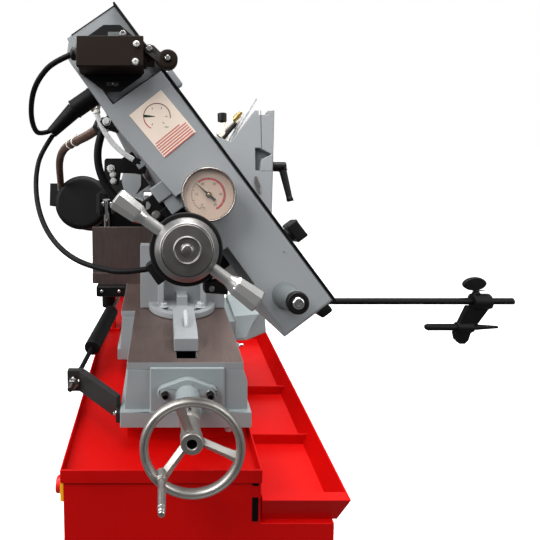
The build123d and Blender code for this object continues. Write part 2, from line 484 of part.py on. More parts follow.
# band: wraps and return run, twisted and upright stretches of the cutting run
zb0 = BMID - BAND_W / 2
loop = Pos(WHEEL_C, DRIVE_Y / 2, 0) * (Rot(0, 0, 90) * SlotCenterToCenter(DRIVE_Y, 2 * RB1)) - Pos(WHEEL_C, DRIVE_Y / 2, 0) * (Rot(0, 0, 90) * SlotCenterToCenter(DRIVE_Y, 2 * RB0))
band = extrude(Pos(0, 0, zb0) * loop, amount=BAND_W, dir=(0, 0, 1))
T0, T1, T2, T3 = 30.0, 190.0, 680.0, 780.0
band -= bx(WHEEL_C + 40, WHEEL_C + 140, T0, T3, -60, 60)


def strip(y, ang):
    return Plane(origin=(XB, y, BMID), x_dir=(cos(radians(ang)), 0, sin(radians(ang))), z_dir=(0, 1, 0)) * Rectangle(BAND_T, BAND_W)


def twist(y0, a0, y1, a1, n=6):
    out = None
    for k in range(n):
        f0, f1 = k / n, (k + 1) / n
        s = loft([strip(y0 + (y1 - y0) * f0, a0 + (a1 - a0) * f0), strip(y0 + (y1 - y0) * f1, a0 + (a1 - a0) * f1)], ruled=True)
        out = s if out is None else out + s
    return out


band += twist(T0, 0, T1, LEAN)
band += extrude(strip(T1, LEAN), amount=T2 - T1, dir=(0, 1, 0))
band += twist(T2, LEAN, T3, 0)
N["band"] = bow(band)

# gear case, transmission case and motor
gc = rnd(bx(10, 115, 745, 860, -92, TN), 14, edges_along(Axis.Z))
gc -= cz(-61, TN + 1, WHEEL_C, DRIVE_Y, 15.06)
gc += cz(-98, -91, WHEEL_C, DRIVE_Y, 34)
MX, MZ, MR = -151.0, -212.0, 72.0
tr = Plane((0, 872, 0), x_dir=(1, 0, 0), z_dir=(0, -1, 0)) * make_hull((Pos(MX, MZ) * Circle(80) + Pos(36, -62) * Circle(36)).edges())
tr = extrude(tr, amount=-26, dir=(0, -1, 0))
gc += tr - bx(-400, 400, 800, 1000, TN, 200)
gc += bx(16, 56, 850, 880, -88, TN)
gcw = LOW * gc
gcw += bx(-142, -128, 342, 376, 780, 930)           # lug and pin for the spring's eye
gcw += cx(-172, -128, 352, 792, 5.0) + cx(-175, -172, 352, 792, 9.0)
N["gearbox"] = LIFT * gcw
mo = cy(742, 872, MX, MZ, MR - 6)
for k in range(20):
    a = radians(18 * k)
    mo += Pos(MX, 800, MZ) * Rot(0, degrees(a), 0) * bx(MR - 8, MR + 1, -58, 58, -1.6, 1.6)
fc = rnd(cy(700, 746, MX, MZ, MR + 3), 14, lambda s: s.edges().filter_by(GeomType.CIRCLE).sort_by(Axis.Y)[0:1])
N["motor"] = LIFT * (LOW * (mo + fc) + bx(-385, -343, 240, 300, 993, 1058))

# feed cylinder: clevis on the pan, body, rod; its head sits in a window of the bow's bracket
CXX = -206.0
CB = (CXX, 150.0, 752.0)
CP = (CXX, 110.0, 1057.0)                        # middle of the bracket's window
CT = (CXX, 111.35, 1056.36)
cd = Vector(*CT) - Vector(*CB)
cu = cd.normalized()
cp = lambda s: tuple(Vector(*CB) + cu * s)
clv = bx(CXX - 10, CXX + 30, 132, 168, 702, 709) + bx(CXX + 9, CXX + 17, 136, 164, 703, 762)
clv += cx(CXX - 9, CXX + 22, CB[1], CB[2], 6.0) + cx(CXX - 10, CXX - 8, CB[1], CB[2], 8.0)
N["coolant_pan"] += clv
body = along(cp(-2), cp(196), 18.0) + along(cp(194), cp(204), 20.0)
body += bx(CXX - 7.5, CXX + 7.5, CB[1] - 12, CB[1] + 12, CB[2] - 12, CB[2] + 6)
body -= cx(CXX - 30, CXX + 30, CB[1], CB[2], 6.06)
body -= bx(CXX - 30, CXX - 7.5, CB[1] - 25, CB[1] + 25, CB[2] - 25, CB[2] + 16) + bx(CXX + 7.5, CXX + 30, CB[1] - 25, CB[1] + 25, CB[2] - 25, CB[2] + 16)
body -= along(cp(14), cp(220), 8.06)
N["feed_cylinder"] = body
rd = along(cp(74), tuple(Vector(*CT) - cu * 12), 8.0)
rd += along(tuple(Vector(*CT) - cu * 22), tuple(Vector(*CT) + cu * 10), 10.0)
rd += cx(CXX - 19, CXX + 19, CT[1], CT[2], 5.0)
N["cylinder_rod"] = rd
# bracket from the beam with two cheeks and windows for the rod's cross pin
LC = LIFT * LOW
ct_l = (-101.5, 626.5, -152.5)
cb_ = bx(-128, -76, 612, 648, -96, TN)
chk = bx(-134, -70, 612, 656, -186, -95)
cb_ += chk
cbw = bow(cb_)
cbw -= bx(CXX - 14.5, CXX + 14.5, 40, 200, 960, 1082)
cbw -= bx(CXX - 40, CXX + 40, CP[1] - 10, CP[1] + 10, CP[2] - 10, CP[2] + 10)
cbw &= bx(CXX - 24, 60, 0, 240, 1024, 1300)
bmw = N["beam"] + cbw
bmw += along((-131.8, -312.0, 1255.1), (-159.5, -312.1, 1259.0), 10.0) + along((-159.3, -312.1, 1261.0), (-163.1, -312.7, 1248.7), 10.0)      # hose fittings
bmw += along((-137.6, -254.5, 1252.1), (-166.0, -256.0, 1261.0), 10.0) + along((-164.3, -259.1, 1262.0), (-178.6, -234.0, 1253.9), 12.0)
N["beam"] = bmw

# counterbalance spring on the left side
SA = Vector(-228, -255, 768)
SQ = Vector(-152, 315.33, 814.33)                # middle of the eye
sd = (SQ - SA).normalized()
sp = lambda s: tuple(SA + sd * s)
SLEN = (SQ - SA).length
ab = bx(-242, -213, -262, -250, 748, 789) + prism_z([(-139, -352), (-132.3, -345), (-210, -250), (-222, -250), (-222, -258)], 748, 787)
ab += bx(-139, -132.3, -366, -336, 748, 767)
ab -= along(sp(-40), sp(40), 9.0)
N["spring_anchor"] = ab
ss = along(sp(118), sp(298), 17.0) - along(sp(124), sp(299), 14.5)
ss += along(sp(-34), sp(120), 5.0) + along(sp(-20), sp(-9.6), 9.5)
N["spring_sleeve"] = ss
hk = along(sp(200), sp(SLEN - 18), 4.0) + Location(Plane(origin=tuple(SQ), x_dir=tuple(sd), z_dir=(1, 0, 0))) * revolve(Plane.XZ * Pos(18, 0) * Circle(4.0), Axis.Z)
N["spring_hook"] = hk

# guide arm on the beam's rail, with the head of the movable guide
GA0, GA1 = 336.0, 380.0
Yl0, Yl1 = BOW_Y + GA0, BOW_Y + GA1
ga = LOW * (bx(-178, -106, GA0 - 8, GA1 + 8, TP + 13.4, TP + 40) + bx(-178, -172.3, GA0 - 8, GA1 + 8, TP + 3, TP + 20) + bx(-111.7, -106, GA0 - 8, GA1 + 8, TP + 3, TP + 20))
ga += prism_y([(-62, 1150), (-45, 1175), (30, 1128), (82, 1109), (126, 1168), (132, 1175), (173, 1175), (160, 905), (112, 905), (112, 1000), (84, 1046), (20, 1062), (-52, 1112)], Yl0, Yl1) - LOW * bx(-300, 300, 200, 700, -100, TP + 30)
ga -= prism_y([(131, 1096), (140, 1096), (165, 1083), (143, 1072), (140.5, 1049), (131, 1049)], Yl0 - 1, Yl0 + 14)
ga -= bx(140, 160, Yl0 - 1, Yl1 + 1, 1166, 1180)
ga += bx(HEAD_L, 120, Yl0 + 4, Yl1 - 4, 873, 934)
ga += bx(HEAD_L, BX - 0.9, Yl0 + 8, Yl1 - 8, 854.5, 874) + bx(BX + 0.9, 102, Yl0 + 8, Yl1 - 8, 854.5, 874)
GLZ = 1059.0
GLY = (Yl0 + Yl1) / 2 - 6
ga -= cx(154, 180, GLY, GLZ, 6.06)
N["guide_arm"] = LIFT * ga
gl = cx(157, 176, GLY, GLZ, 6.0) + cx(169, 197, GLY, GLZ, 10.0)
gl += cone((189, GLY, GLZ), (202, GLY - 6, GLZ - 68), 8.0, 6.0)
gl += along((201.8, GLY - 5.9, GLZ - 66), (203, GLY - 6.2, GLZ - 72), 7.0)
N["guide_lever"] = LIFT * gl

# coolant tap on the arm
CVX, CVZ = 66.0, 1140.0
cv = cz(1122, 1150, CVX, GLY, 9.0) + cx(CVX, CVX + 30, GLY, 1146, 7.0) + bx(CVX - 8, CVX + 12, GLY - 8, GLY + 8, 1100, 1124)
cv += along((CVX + 24, GLY, 1146), (CVX + 32, GLY, 1158), 6.0)
cv -= prism_y([(30, 1128), (82, 1109), (126, 1168), (132, 1175), (173, 1175), (160, 905), (30, 905)], Yl0 - 1, Yl1 + 1)
N["coolant_tap"] = LIFT * (cv - cz(1140, 1160, CVX, GLY, 4.06))
N["tap_knob"] = LIFT * (cz(1141, 1158, CVX, GLY, 4.0) + cz(1154, 1172, CVX, GLY, 9.5))

# ================================================================= cables and hoses
N["cable_boot"] = bow(cz(-72, -41, -153, -60, 12.4) + cone((-152.5, -60, -71), (-145, -60, -112), 10.8, 7.0))


def cord(name, d, pts):
    """Round cable or hose along straight runs joined by tangent arcs."""
    v = [Vector(*p) for p in pts]
    rad = []
    for i in range(1, len(v) - 1):
        a, b = v[i] - v[i - 1], v[i + 1] - v[i]
        rad.append(0.45 * min(a.length, b.length) / tan(radians(a.get_angle(b)) / 2))
    path = FilletPolyline(*v, radius=rad)
    s = sweep(Plane(origin=v[0], z_dir=v[1] - v[0]) * Circle(d / 2), path=path)
    print(name, "length %.1f" % path.length, "radii", [round(r) for r in rad], "volume / (section x length) %.4f" % (s.volume / (pi * d * d / 4 * path.length)))
    N[name] = s


cord("cable_switch", 6.0, [(-151.0, -663.0, 1328.4), (-171.0, -659.9, 1321.1), (-186.4, -651.3, 1308.2), (-197.6, -637.9, 1294.9), (-204.8, -622.9, 1280.6),
                           (-208.9, -608.4, 1264.6), (-210.0, -591.2, 1251.3), (-209.2, -570.2, 1245.1), (-200.5, -552.6, 1249.0)])
cord("cable_sensor", 6.0, [(-196.6, -553.6, 1243.7), (-210.1, -562.9, 1222.0), (-213.2, -575.8, 1197.5), (-210.2, -589.7, 1173.6), (-202.3, -605.2, 1151.8), (-189.4, -621.0, 1132.9),
                           (-171.6, -636.0, 1117.7), (-149.7, -649.9, 1107.6), (-125.1, -662.3, 1103.8), (-99.3, -672.6, 1101.9), (-73.0, -676.8, 1107.7)])
cord("hose_black", 14.0, [(-163.1, -312.7, 1248.7), (-169.8, -313.8, 1228.5), (-172.6, -315.2, 1203.0), (-168.2, -317.4, 1175.5), (-154.5, -320.5, 1147.5), (-129.6, -327.8, 1121.4),
                          (-101.2, -342.0, 1107.3), (-74.1, -363.4, 1105.0), (-53.2, -390.6, 1110.8), (-44.2, -423.1, 1118.6)])
cord("hose_clear", 8.0, [(-159.5, -423.8, 1282.7), (-156.9, -426.1, 1270.8), (-151.3, -428.7, 1257.4), (-142.7, -431.8, 1241.6), (-132.0, -434.4, 1228.2), (-118.5, -436.7, 1216.2),
                         (-104.2, -438.5, 1206.9), (-94.4, -439.7, 1200.6)])
cord("hose_corrugated", 19.0, [(-178.6, -234.0, 1253.9), (-201.1, -194.6, 1241.2), (-227.3, -150.0, 1230.4), (-252.5, -103.0, 1221.6), (-276.2, -53.0, 1211.3), (-296.2, -3.0, 1197.2),
                               (-311.9, 47.0, 1179.8), (-324.4, 97.0, 1159.6), (-334.1, 147.0, 1134.5), (-342.2, 196.0, 1103.7), (-351.0, 245.1, 1064.0)])
# ================================================================= write
for k, s in N.items():
    export_step(s, "parts/%s.step" % k)
print(len(N), "nodes")
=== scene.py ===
import bpy
import bmesh
from math import sin, cos, tan, radians, pi, sqrt, atan2
from mathutils import Matrix, Vector


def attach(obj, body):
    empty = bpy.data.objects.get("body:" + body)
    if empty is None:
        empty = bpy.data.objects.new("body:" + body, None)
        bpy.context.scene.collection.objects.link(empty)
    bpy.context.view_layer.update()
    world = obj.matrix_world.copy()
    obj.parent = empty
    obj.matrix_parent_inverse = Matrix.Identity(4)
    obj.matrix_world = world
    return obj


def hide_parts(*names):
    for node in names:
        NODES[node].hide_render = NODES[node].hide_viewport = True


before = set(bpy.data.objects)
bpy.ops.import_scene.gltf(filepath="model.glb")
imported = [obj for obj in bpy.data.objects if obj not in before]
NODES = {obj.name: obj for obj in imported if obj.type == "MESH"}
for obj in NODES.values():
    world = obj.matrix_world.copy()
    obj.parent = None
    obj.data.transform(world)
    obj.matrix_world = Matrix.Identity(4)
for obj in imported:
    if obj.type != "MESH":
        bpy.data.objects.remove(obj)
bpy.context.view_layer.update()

MM = 0.001
SC = Matrix.Scale(MM, 4)
ID = Matrix.Identity(4)
scene = bpy.context.scene

# ------------------------------------------------------------------ camera
cam_data = bpy.data.cameras.new("camera")
cam_data.sensor_fit = "HORIZONTAL"
cam_data.sensor_width = 36.0
cam_data.lens = 33.333
cam_data.shift_x = 0.198
cam_data.shift_y = -0.182
cam_data.clip_start = 0.01
cam_data.clip_end = 100.0
camera = bpy.data.objects.new("camera", cam_data)
scene.collection.objects.link(camera)
camera.location = (-0.058, -1.184, 1.253)
camera.rotation_euler = (radians(85.0), 0.0, 0.0)
scene.camera = camera

# ------------------------------------------------------------------ frames of the machine (mm)
LEAN, RAISE = radians(54.1), radians(11.0)
LIFT = Matrix.Translation((0, 432, 1000)) @ Matrix.Rotation(-RAISE, 4, "X") @ Matrix.Translation((0, -432, -1000))
U0, A0, N0 = Vector((cos(LEAN), 0, -sin(LEAN))), Vector((0, 1, 0)), Vector((sin(LEAN), 0, cos(LEAN)))
LOW = Matrix(((U0.x, A0.x, N0.x, -22.8), (U0.y, A0.y, N0.y, -522.0), (U0.z, A0.z, N0.z, 1002.1), (0, 0, 0, 1)))
BOW = LIFT @ LOW
LEVEL = BOW @ Matrix.Translation((-140.3, 0, -7.3)) @ Matrix.Rotation(-LEAN, 4, "Y")
FACE = -165.0
HUBX, HUBZ = 61.5, -61.0


# ------------------------------------------------------------------ materials
class Mat:
    """A small helper for node materials: textures in the piece's own metres."""

    def __init__(self, name):
        self.m = bpy.data.materials.new(name)
        self.m.use_nodes = True
        self.nt = self.m.node_tree
        self.b = self.nt.nodes["Principled BSDF"]
        self.tc = self.nt.nodes.new("ShaderNodeTexCoord")

    def set(self, **kw):
        for k, v in kw.items():
            self.b.inputs[k.replace("_", " ")].default_value = v
        return self

    def coords(self, scale=(1, 1, 1), rot=(0, 0, 0)):
        mp = self.nt.nodes.new("ShaderNodeMapping")
        mp.inputs["Scale"].default_value = scale
        mp.inputs["Rotation"].default_value = rot
        self.nt.links.new(self.tc.outputs["Object"], mp.inputs["Vector"])
        return mp.outputs["Vector"]

    def noise(self, scale, detail=2.0, rough=0.5, vec=None, dist=0.0):
        n = self.nt.nodes.new("ShaderNodeTexNoise")
        n.inputs["Scale"].default_value = scale
        n.inputs["Detail"].default_value = detail
        n.inputs["Roughness"].default_value = rough
        n.inputs["Distortion"].default_value = dist
        self.nt.links.new(vec if vec is not None else self.tc.outputs["Object"], n.inputs["Vector"])
        return n.outputs["Fac"]

    def wave(self, scale, vec=None, dist=0.0, direction="X", rings=False, detail=2.0):
        n = self.nt.nodes.new("ShaderNodeTexWave")
        n.wave_type = "RINGS" if rings else "BANDS"
        if rings:
            n.rings_direction = direction
        else:
            n.bands_direction = direction
        n.inputs["Scale"].default_value = scale
        n.inputs["Distortion"].default_value = dist
        n.inputs["Detail"].default_value = detail
        self.nt.links.new(vec if vec is not None else self.tc.outputs["Object"], n.inputs["Vector"])
        return n.outputs["Fac"]

    def ramp(self, fac, stops):
        r = self.nt.nodes.new("ShaderNodeValToRGB")
        el = r.color_ramp.elements
        while len(el) < len(stops):
            el.new(0.5)
        for e, (p, c) in zip(el, stops):
            e.position = p
            e.color = (c[0], c[1], c[2], 1.0)
        self.nt.links.new(fac, r.inputs["Fac"])
        return r.outputs["Color"]

    def remap(self, fac, lo, hi, a=0.3, b=0.7):
        r = self.nt.nodes.new("ShaderNodeMapRange")
        r.inputs["From Min"].default_value = a
        r.inputs["From Max"].default_value = b
        r.inputs["To Min"].default_value = lo
        r.inputs["To Max"].default_value = hi
        self.nt.links.new(fac, r.inputs["Value"])
        return r.outputs["Result"]

    def mix(self, fac, a, b):
        x = self.nt.nodes.new("ShaderNodeMix")
        x.data_type = "RGBA"
        self.nt.links.new(fac, x.inputs["Factor"])
        for sock, v in ((x.inputs["A"], a), (x.inputs["B"], b)):
            sock = [s for s in x.inputs if s.name == sock.name and s.type == "RGBA"][0]
            if isinstance(v, tuple):
                sock.default_value = (*v, 1.0)
            else:
                self.nt.links.new(v, sock)
        return [o for o in x.outputs if o.type == "RGBA"][0]

    def math(self, op, a, b):
        x = self.nt.nodes.new("ShaderNodeMath")
        x.operation = op
        for i, v in enumerate((a, b)):
            if isinstance(v, (int, float)):
                x.inputs[i].default_value = v
            else:
                self.nt.links.new(v, x.inputs[i])
        return x.outputs[0]

    def to(self, sock, out):
        self.nt.links.new(out, self.b.inputs[sock])
        return self

    def bump(self, height, strength, distance):
        n = self.nt.nodes.new("ShaderNodeBump")
        n.inputs["Strength"].default_value = strength
        n.inputs["Distance"].default_value = distance
        self.nt.links.new(height, n.inputs["Height"])
        self.nt.links.new(n.outputs["Normal"], self.b.inputs["Normal"])
        return self


def shade(c, k):
    return tuple(min(1.0, x * k) for x in c)


def paint(name, rgb, rough=0.4, spread=0.05, peel=0.05, spec=0.35, vary=0.05, peel_size=420.0):
    """Sprayed paint: slow shade drift, orange peel, uneven gloss."""
    m = Mat(name)
    drift = m.noise(5.0, 3.0, 0.55)
    m.to("Base Color", m.ramp(drift, [(0.3, shade(rgb, 1 - vary)), (0.7, shade(rgb, 1 + vary))]))
    m.to("Roughness", m.remap(m.noise(38.0, 3.0), rough - spread, rough + spread))
    m.bump(m.noise(peel_size, 2.0, 0.45), peel, 0.0006)
    m.set(Specular_IOR_Level=spec)
    return m.m


def metal(name, rgb, rough=0.3, spread=0.06, streak=(1, 1, 1), size=120.0, depth=0.06, vary=0.08):
    """Machined metal: fine streaks along one way, uneven gloss."""
    m = Mat(name)
    v = m.coords(streak)
    lines = m.noise(size, 4.0, 0.65, v)
    m.to("Base Color", m.ramp(lines, [(0.3, shade(rgb, 1 - vary)), (0.7, shade(rgb, 1 + vary))]))
    m.to("Roughness", m.remap(m.noise(size * 0.5, 3.0, 0.6, v), rough - spread, rough + spread))
    m.bump(lines, depth, 0.0003)
    m.set(Metallic=1.0)
    return m.m


def moulded(name, rgb, rough=0.45, grain=900.0, depth=0.10, vary=0.1, spec=0.3):
    """Moulded plastic or rubber with a fine grain."""
    m = Mat(name)
    m.to("Base Color", m.ramp(m.noise(14.0, 3.0), [(0.3, shade(rgb, 1 - vary)), (0.7, shade(rgb, 1 + vary))]))
    m.to("Roughness", m.remap(m.noise(60.0, 2.0), rough - 0.06, rough + 0.06))
    m.bump(m.noise(grain, 2.0, 0.5), depth, 0.0003)
    m.set(Specular_IOR_Level=spec)
    return m.m


GREY = paint("grey_paint", (0.262, 0.276, 0.286), 0.46, peel=0.05)
VGREY = paint("vise_grey_paint", (0.268, 0.305, 0.312), 0.46, peel=0.05)
LGREY = paint("light_grey_paint", (0.40, 0.42, 0.43), 0.42, peel=0.06)
DGREY = paint("dark_grey_paint", (0.105, 0.118, 0.118), 0.46, peel=0.06)
RED = paint("red_paint", (0.52, 0.0022, 0.0016), 0.46, peel=0.035, spec=0.12, vary=0.05, peel_size=300.0)
BLACKP = paint("black_paint", (0.0038, 0.0036, 0.0036), 0.50, peel=0.08, spec=0.15, vary=0.12)
SHEETP = paint("black_sheet", (0.020, 0.018, 0.018), 0.42, peel=0.06, spec=0.35, vary=0.12)
STEEL = metal("steel", (0.40, 0.39, 0.38), 0.30, 0.06, (1, 1, 1), 240.0, 0.05, 0.07)
BANDST = metal("band_steel", (0.32, 0.33, 0.36), 0.28, 0.05, (6.0, 0.5, 6.0), 120.0, 0.05, 0.08)
CHROME = metal("chrome", (0.66, 0.655, 0.65), 0.14, 0.03, (1, 1, 1), 60.0, 0.01, 0.03)
ALU = metal("polished_aluminium", (0.58, 0.57, 0.555), 0.30, 0.05, (1, 1, 1), 160.0, 0.006, 0.05)
ARMSTEEL = metal("polished_arm_steel", (0.45, 0.445, 0.435), 0.22, 0.02, (1, 1, 1), 120.0, 0.0, 0.02)
for n_ in ARMSTEEL.node_tree.nodes:
    if n_.type == "BSDF_PRINCIPLED":
        n_.inputs["Metallic"].default_value = 0.7
ZINC = metal("bright_zinc", (0.72, 0.72, 0.70), 0.44, 0.05, (1, 1, 1), 90.0, 0.01, 0.04)
CASTALU = metal("cast_aluminium", (0.47, 0.45, 0.42), 0.44, 0.05, (1, 1, 1), 90.0, 0.010, 0.05)
PLASTIC = moulded("black_plastic", (0.0045, 0.0044, 0.0044), 0.44, spec=0.2)
SWITCHP = moulded("switch_plastic", (0.0134, 0.0080, 0.0058), 0.52, 1200.0, 0.08, spec=0.10)
RUBBER = moulded("rubber", (0.0032, 0.0032, 0.0033), 0.55, 700.0, 0.10, spec=0.13)
DEEP = moulded("deep_black", (0.0016, 0.0016, 0.0017), 0.60, 700.0, 0.05, spec=0.10)
REDP = moulded("red_plastic", (0.55, 0.012, 0.010), 0.28, 700.0, 0.05)
YELLOWP = moulded("yellow_plastic", (0.93, 0.45, 0.010), 0.34, 700.0, 0.05)
BEZEL = metal("bezel_steel", (0.36, 0.33, 0.31), 0.24, 0.05, (1, 1, 1), 160.0, 0.01, 0.05)
BRASS = metal("brass", (0.66, 0.45, 0.17), 0.24, 0.06, (1, 1, 1), 220.0, 0.04, 0.08)
CAST = paint("cast_iron_paint", (0.19, 0.205, 0.215), 0.55, peel=0.25, vary=0.10, peel_size=220.0)
DARKST = metal("dark_steel", (0.085, 0.080, 0.078), 0.36, 0.07, (1, 1, 1), 240.0, 0.05, 0.10)
CREAM = moulded("cream_plastic", (0.78, 0.72, 0.62), 0.36, 700.0, 0.05, 0.05)
TIE = moulded("tie_nylon", (0.80, 0.77, 0.70), 0.36, 700.0, 0.05, 0.05)
MARK = moulded("printed_black", (0.012, 0.010, 0.010), 0.5, 900.0, 0.02)
MARKRED = moulded("printed_red", (0.42, 0.035, 0.045), 0.5, 900.0, 0.02)
MARKBROWN = moulded("printed_brown", (0.20, 0.075, 0.07), 0.5, 900.0, 0.02)
MARKROSE = moulded("printed_rose", (0.46, 0.085, 0.075), 0.5, 900.0, 0.02)
MARKGREEN = moulded("printed_green", (0.008, 0.030, 0.017), 0.5, 900.0, 0.02)

# vise top: ground steel above, paint on the sides
m_ = Mat("ground_top")
geo_ = m_.nt.nodes.new("ShaderNodeNewGeometry")
sep_ = m_.nt.nodes.new("ShaderNodeSeparateXYZ")
m_.nt.links.new(geo_.outputs["Normal"], sep_.inputs["Vector"])
up_ = m_.remap(sep_.outputs["Z"], 0.0, 1.0, 0.86, 0.96)
v_ = m_.coords((8.0, 0.5, 8.0))
streak_ = m_.noise(44.0, 4.0, 0.65, v_)
blot_ = m_.noise(9.0, 3.0, 0.55)
# Painted reflection: the brown streaks and darker blotches of the ground top stand in for the brownish surroundings
# that the bare ground steel mirrors.
br_ = m_.mix(m_.remap(blot_, 0.0, 0.45, 0.35, 0.65), m_.ramp(streak_, [(0.3, (0.208, 0.151, 0.135)), (0.7, (0.280, 0.208, 0.187))]), (0.152, 0.110, 0.100))
m_.to("Base Color", m_.mix(up_, (0.262, 0.276, 0.286), br_))
m_.to("Metallic", m_.remap(up_, 0.0, 0.82, 0.0, 1.0))
m_.to("Roughness", m_.remap(streak_, 0.34, 0.46))
m_.bump(streak_, 0.03, 0.0003)
m_.set(Specular_IOR_Level=0.35)
TABLETOP = m_.m

# ground face of the jaw plate
m_ = Mat("ground_face")
v_ = m_.coords((7.0, 7.0, 0.6))
streak_ = m_.noise(46.0, 4.0, 0.65, v_)
blot_ = m_.noise(7.0, 3.0, 0.55)
m_.to("Base Color", m_.mix(m_.remap(blot_, 0.0, 0.5, 0.35, 0.65), m_.ramp(streak_, [(0.3, (0.165, 0.125, 0.115)), (0.7, (0.215, 0.168, 0.155))]), (0.120, 0.090, 0.083)))
m_.to("Roughness", m_.remap(streak_, 0.34, 0.46))
m_.bump(streak_, 0.03, 0.0003)
m_.set(Metallic=0.85, Specular_IOR_Level=0.35)
GROUND = m_.m

# bow's beam: grey box, black fittings under it
m_ = Mat("beam_paint")
dot_ = m_.nt.nodes.new("ShaderNodeVectorMath")
dot_.operation = "DOT_PRODUCT"
nrm_ = (BOW.to_3x3() @ Vector((0, 0, 1))).normalized()
dot_.inputs[1].default_value = nrm_
m_.nt.links.new(m_.tc.outputs["Object"], dot_.inputs[0])
d0_ = (BOW @ Vector((0, 0, -33.5))).dot(nrm_) * MM
under_ = m_.remap(dot_.outputs["Value"], 0.0, 1.0, d0_ - 0.0004, d0_ + 0.0004)
m_.to("Base Color", m_.mix(under_, (0.004, 0.004, 0.0042), m_.ramp(m_.noise(5.0, 3.0), [(0.3, (0.250, 0.264, 0.273)), (0.7, (0.274, 0.288, 0.298))])))
m_.to("Roughness", m_.remap(m_.noise(38.0, 3.0), 0.41, 0.51))
m_.bump(m_.noise(420.0, 2.0, 0.45), 0.05, 0.0006)
m_.set(Specular_IOR_Level=0.3)
BEAMP = m_.m

# brushed hub steel: rings about the hub's own axis
m_ = Mat("turned_steel")
hub_c = SC @ BOW @ Vector((HUBX, -230.0, HUBZ))
rot_ = m_.nt.nodes.new("ShaderNodeVectorRotate")
rot_.rotation_type = "X_AXIS"
rot_.inputs["Center"].default_value = hub_c
rot_.inputs["Angle"].default_value = RAISE
sub_ = m_.nt.nodes.new("ShaderNodeVectorMath")
sub_.operation = "SUBTRACT"
sub_.inputs[1].default_value = hub_c
m_.nt.links.new(m_.tc.outputs["Object"], rot_.inputs["Vector"])
m_.nt.links.new(rot_.outputs["Vector"], sub_.inputs[0])
ring_ = m_.wave(300.0, sub_.outputs["Vector"], 0.6, "Y", True, 3.0)
m_.to("Base Color", m_.ramp(ring_, [(0.2, (0.225, 0.213, 0.200)), (0.8, (0.262, 0.250, 0.236))]))
m_.to("Roughness", m_.remap(m_.noise(90.0, 3.0), 0.30, 0.40))
m_.bump(ring_, 0.07, 0.0002)
m_.set(Metallic=1.0)
TURNED = m_.m
HUBRIM = metal("hub_rim_steel", (0.27, 0.265, 0.26), 0.40, 0.05, (1, 1, 1), 200.0, 0.03, 0.06)

# dial card
m_ = Mat("dial_card")
m_.to("Base Color", m_.ramp(m_.noise(24.0, 2.0), [(0.3, (0.425, 0.305, 0.233)), (0.7, (0.505, 0.377, 0.296))]))
m_.to("Roughness", m_.remap(m_.noise(200.0, 2.0), 0.38, 0.5))
m_.bump(m_.noise(1600.0, 1.0), 0.03, 0.0002)
DIALCARD = m_.m

# printed plate on the bow's face
m_ = Mat("plate_card")
m_.to("Base Color", m_.ramp(m_.noise(16.0, 2.0), [(0.3, (0.70, 0.60, 0.50)), (0.7, (0.76, 0.62, 0.55))]))
m_.to("Roughness", m_.remap(m_.noise(200.0, 2.0), 0.40, 0.52))
m_.bump(m_.noise(1600.0, 1.0), 0.03, 0.0002)
m_.set(Specular_IOR_Level=0.3)
PLATECARD = m_.m

# gauge window
m_ = Mat("window_glass")
m_.to("Roughness", m_.remap(m_.noise(120.0, 2.0), 0.02, 0.06))
m_.set(Base_Color=(0.9, 0.9, 0.9, 1), Alpha=0.035, IOR=1.5)
GLASS = m_.m

# milky clear hose
m_ = Mat("clear_hose")
m_.to("Base Color", m_.ramp(m_.noise(120.0, 3.0), [(0.3, (0.78, 0.78, 0.78)), (0.7, (0.88, 0.88, 0.88))]))
m_.to("Roughness", m_.remap(m_.noise(300.0, 2.0), 0.14, 0.26))
m_.bump(m_.noise(500.0, 2.0), 0.04, 0.0003)
m_.set(Transmission_Weight=0.45, IOR=1.42)
CLEAR = m_.m

# brown smoked corrugated conduit
m_ = Mat("smoked_conduit")
m_.to("Base Color", m_.ramp(m_.noise(70.0, 3.0), [(0.3, (0.060, 0.030, 0.020)), (0.7, (0.125, 0.068, 0.046))]))
m_.to("Roughness", m_.remap(m_.noise(200.0, 2.0), 0.24, 0.38))
m_.bump(m_.noise(700.0, 2.0), 0.05, 0.0003)
m_.set(Transmission_Weight=0.12, IOR=1.45)
CONDUIT = m_.m


# ------------------------------------------------------------------ mesh helpers (mm, then placed)
def circle(n, r, z=0.0, ph=0.0):
    return [Vector((r * cos(ph + 2 * pi * i / n), r * sin(ph + 2 * pi * i / n), z)) for i in range(n)]


def hexagon(n, af, z):
    """n points, a multiple of six, on a hexagon of that size across flats."""
    out = []
    for i in range(n):
        a = 2 * pi * i / n
        k = (a % (pi / 3)) - pi / 6
        r = af / 2 / cos(k)
        out.append(Vector((r * cos(a), r * sin(a), z)))
    return out


def rrect(w, h, r, z, per=6):
    """Rounded rectangle loop, centred."""
    out = []
    for cx_, cy_, a0 in ((w / 2 - r, h / 2 - r, 0), (-w / 2 + r, h / 2 - r, pi / 2), (-w / 2 + r, -h / 2 + r, pi), (w / 2 - r, -h / 2 + r, 1.5 * pi)):
        for i in range(per):
            a = a0 + pi / 2 * i / (per - 1)
            out.append(Vector((cx_ + r * cos(a), cy_ + r * sin(a), z)))
    return out


def skin(loops, cap0=True, cap1=True):
    bm = bmesh.new()
    rows = [[bm.verts.new(p) for p in lp] for lp in loops]
    n = len(loops[0])
    for a, b in zip(rows, rows[1:]):
        for i in range(n):
            j = (i + 1) % n
            bm.faces.new((a[i], a[j], b[j], b[i]))
    if cap0:
        bm.faces.new(list(reversed(rows[0])))
    if cap1:
        bm.faces.new(rows[-1])
    bmesh.ops.recalc_face_normals(bm, faces=bm.faces)
    return bm


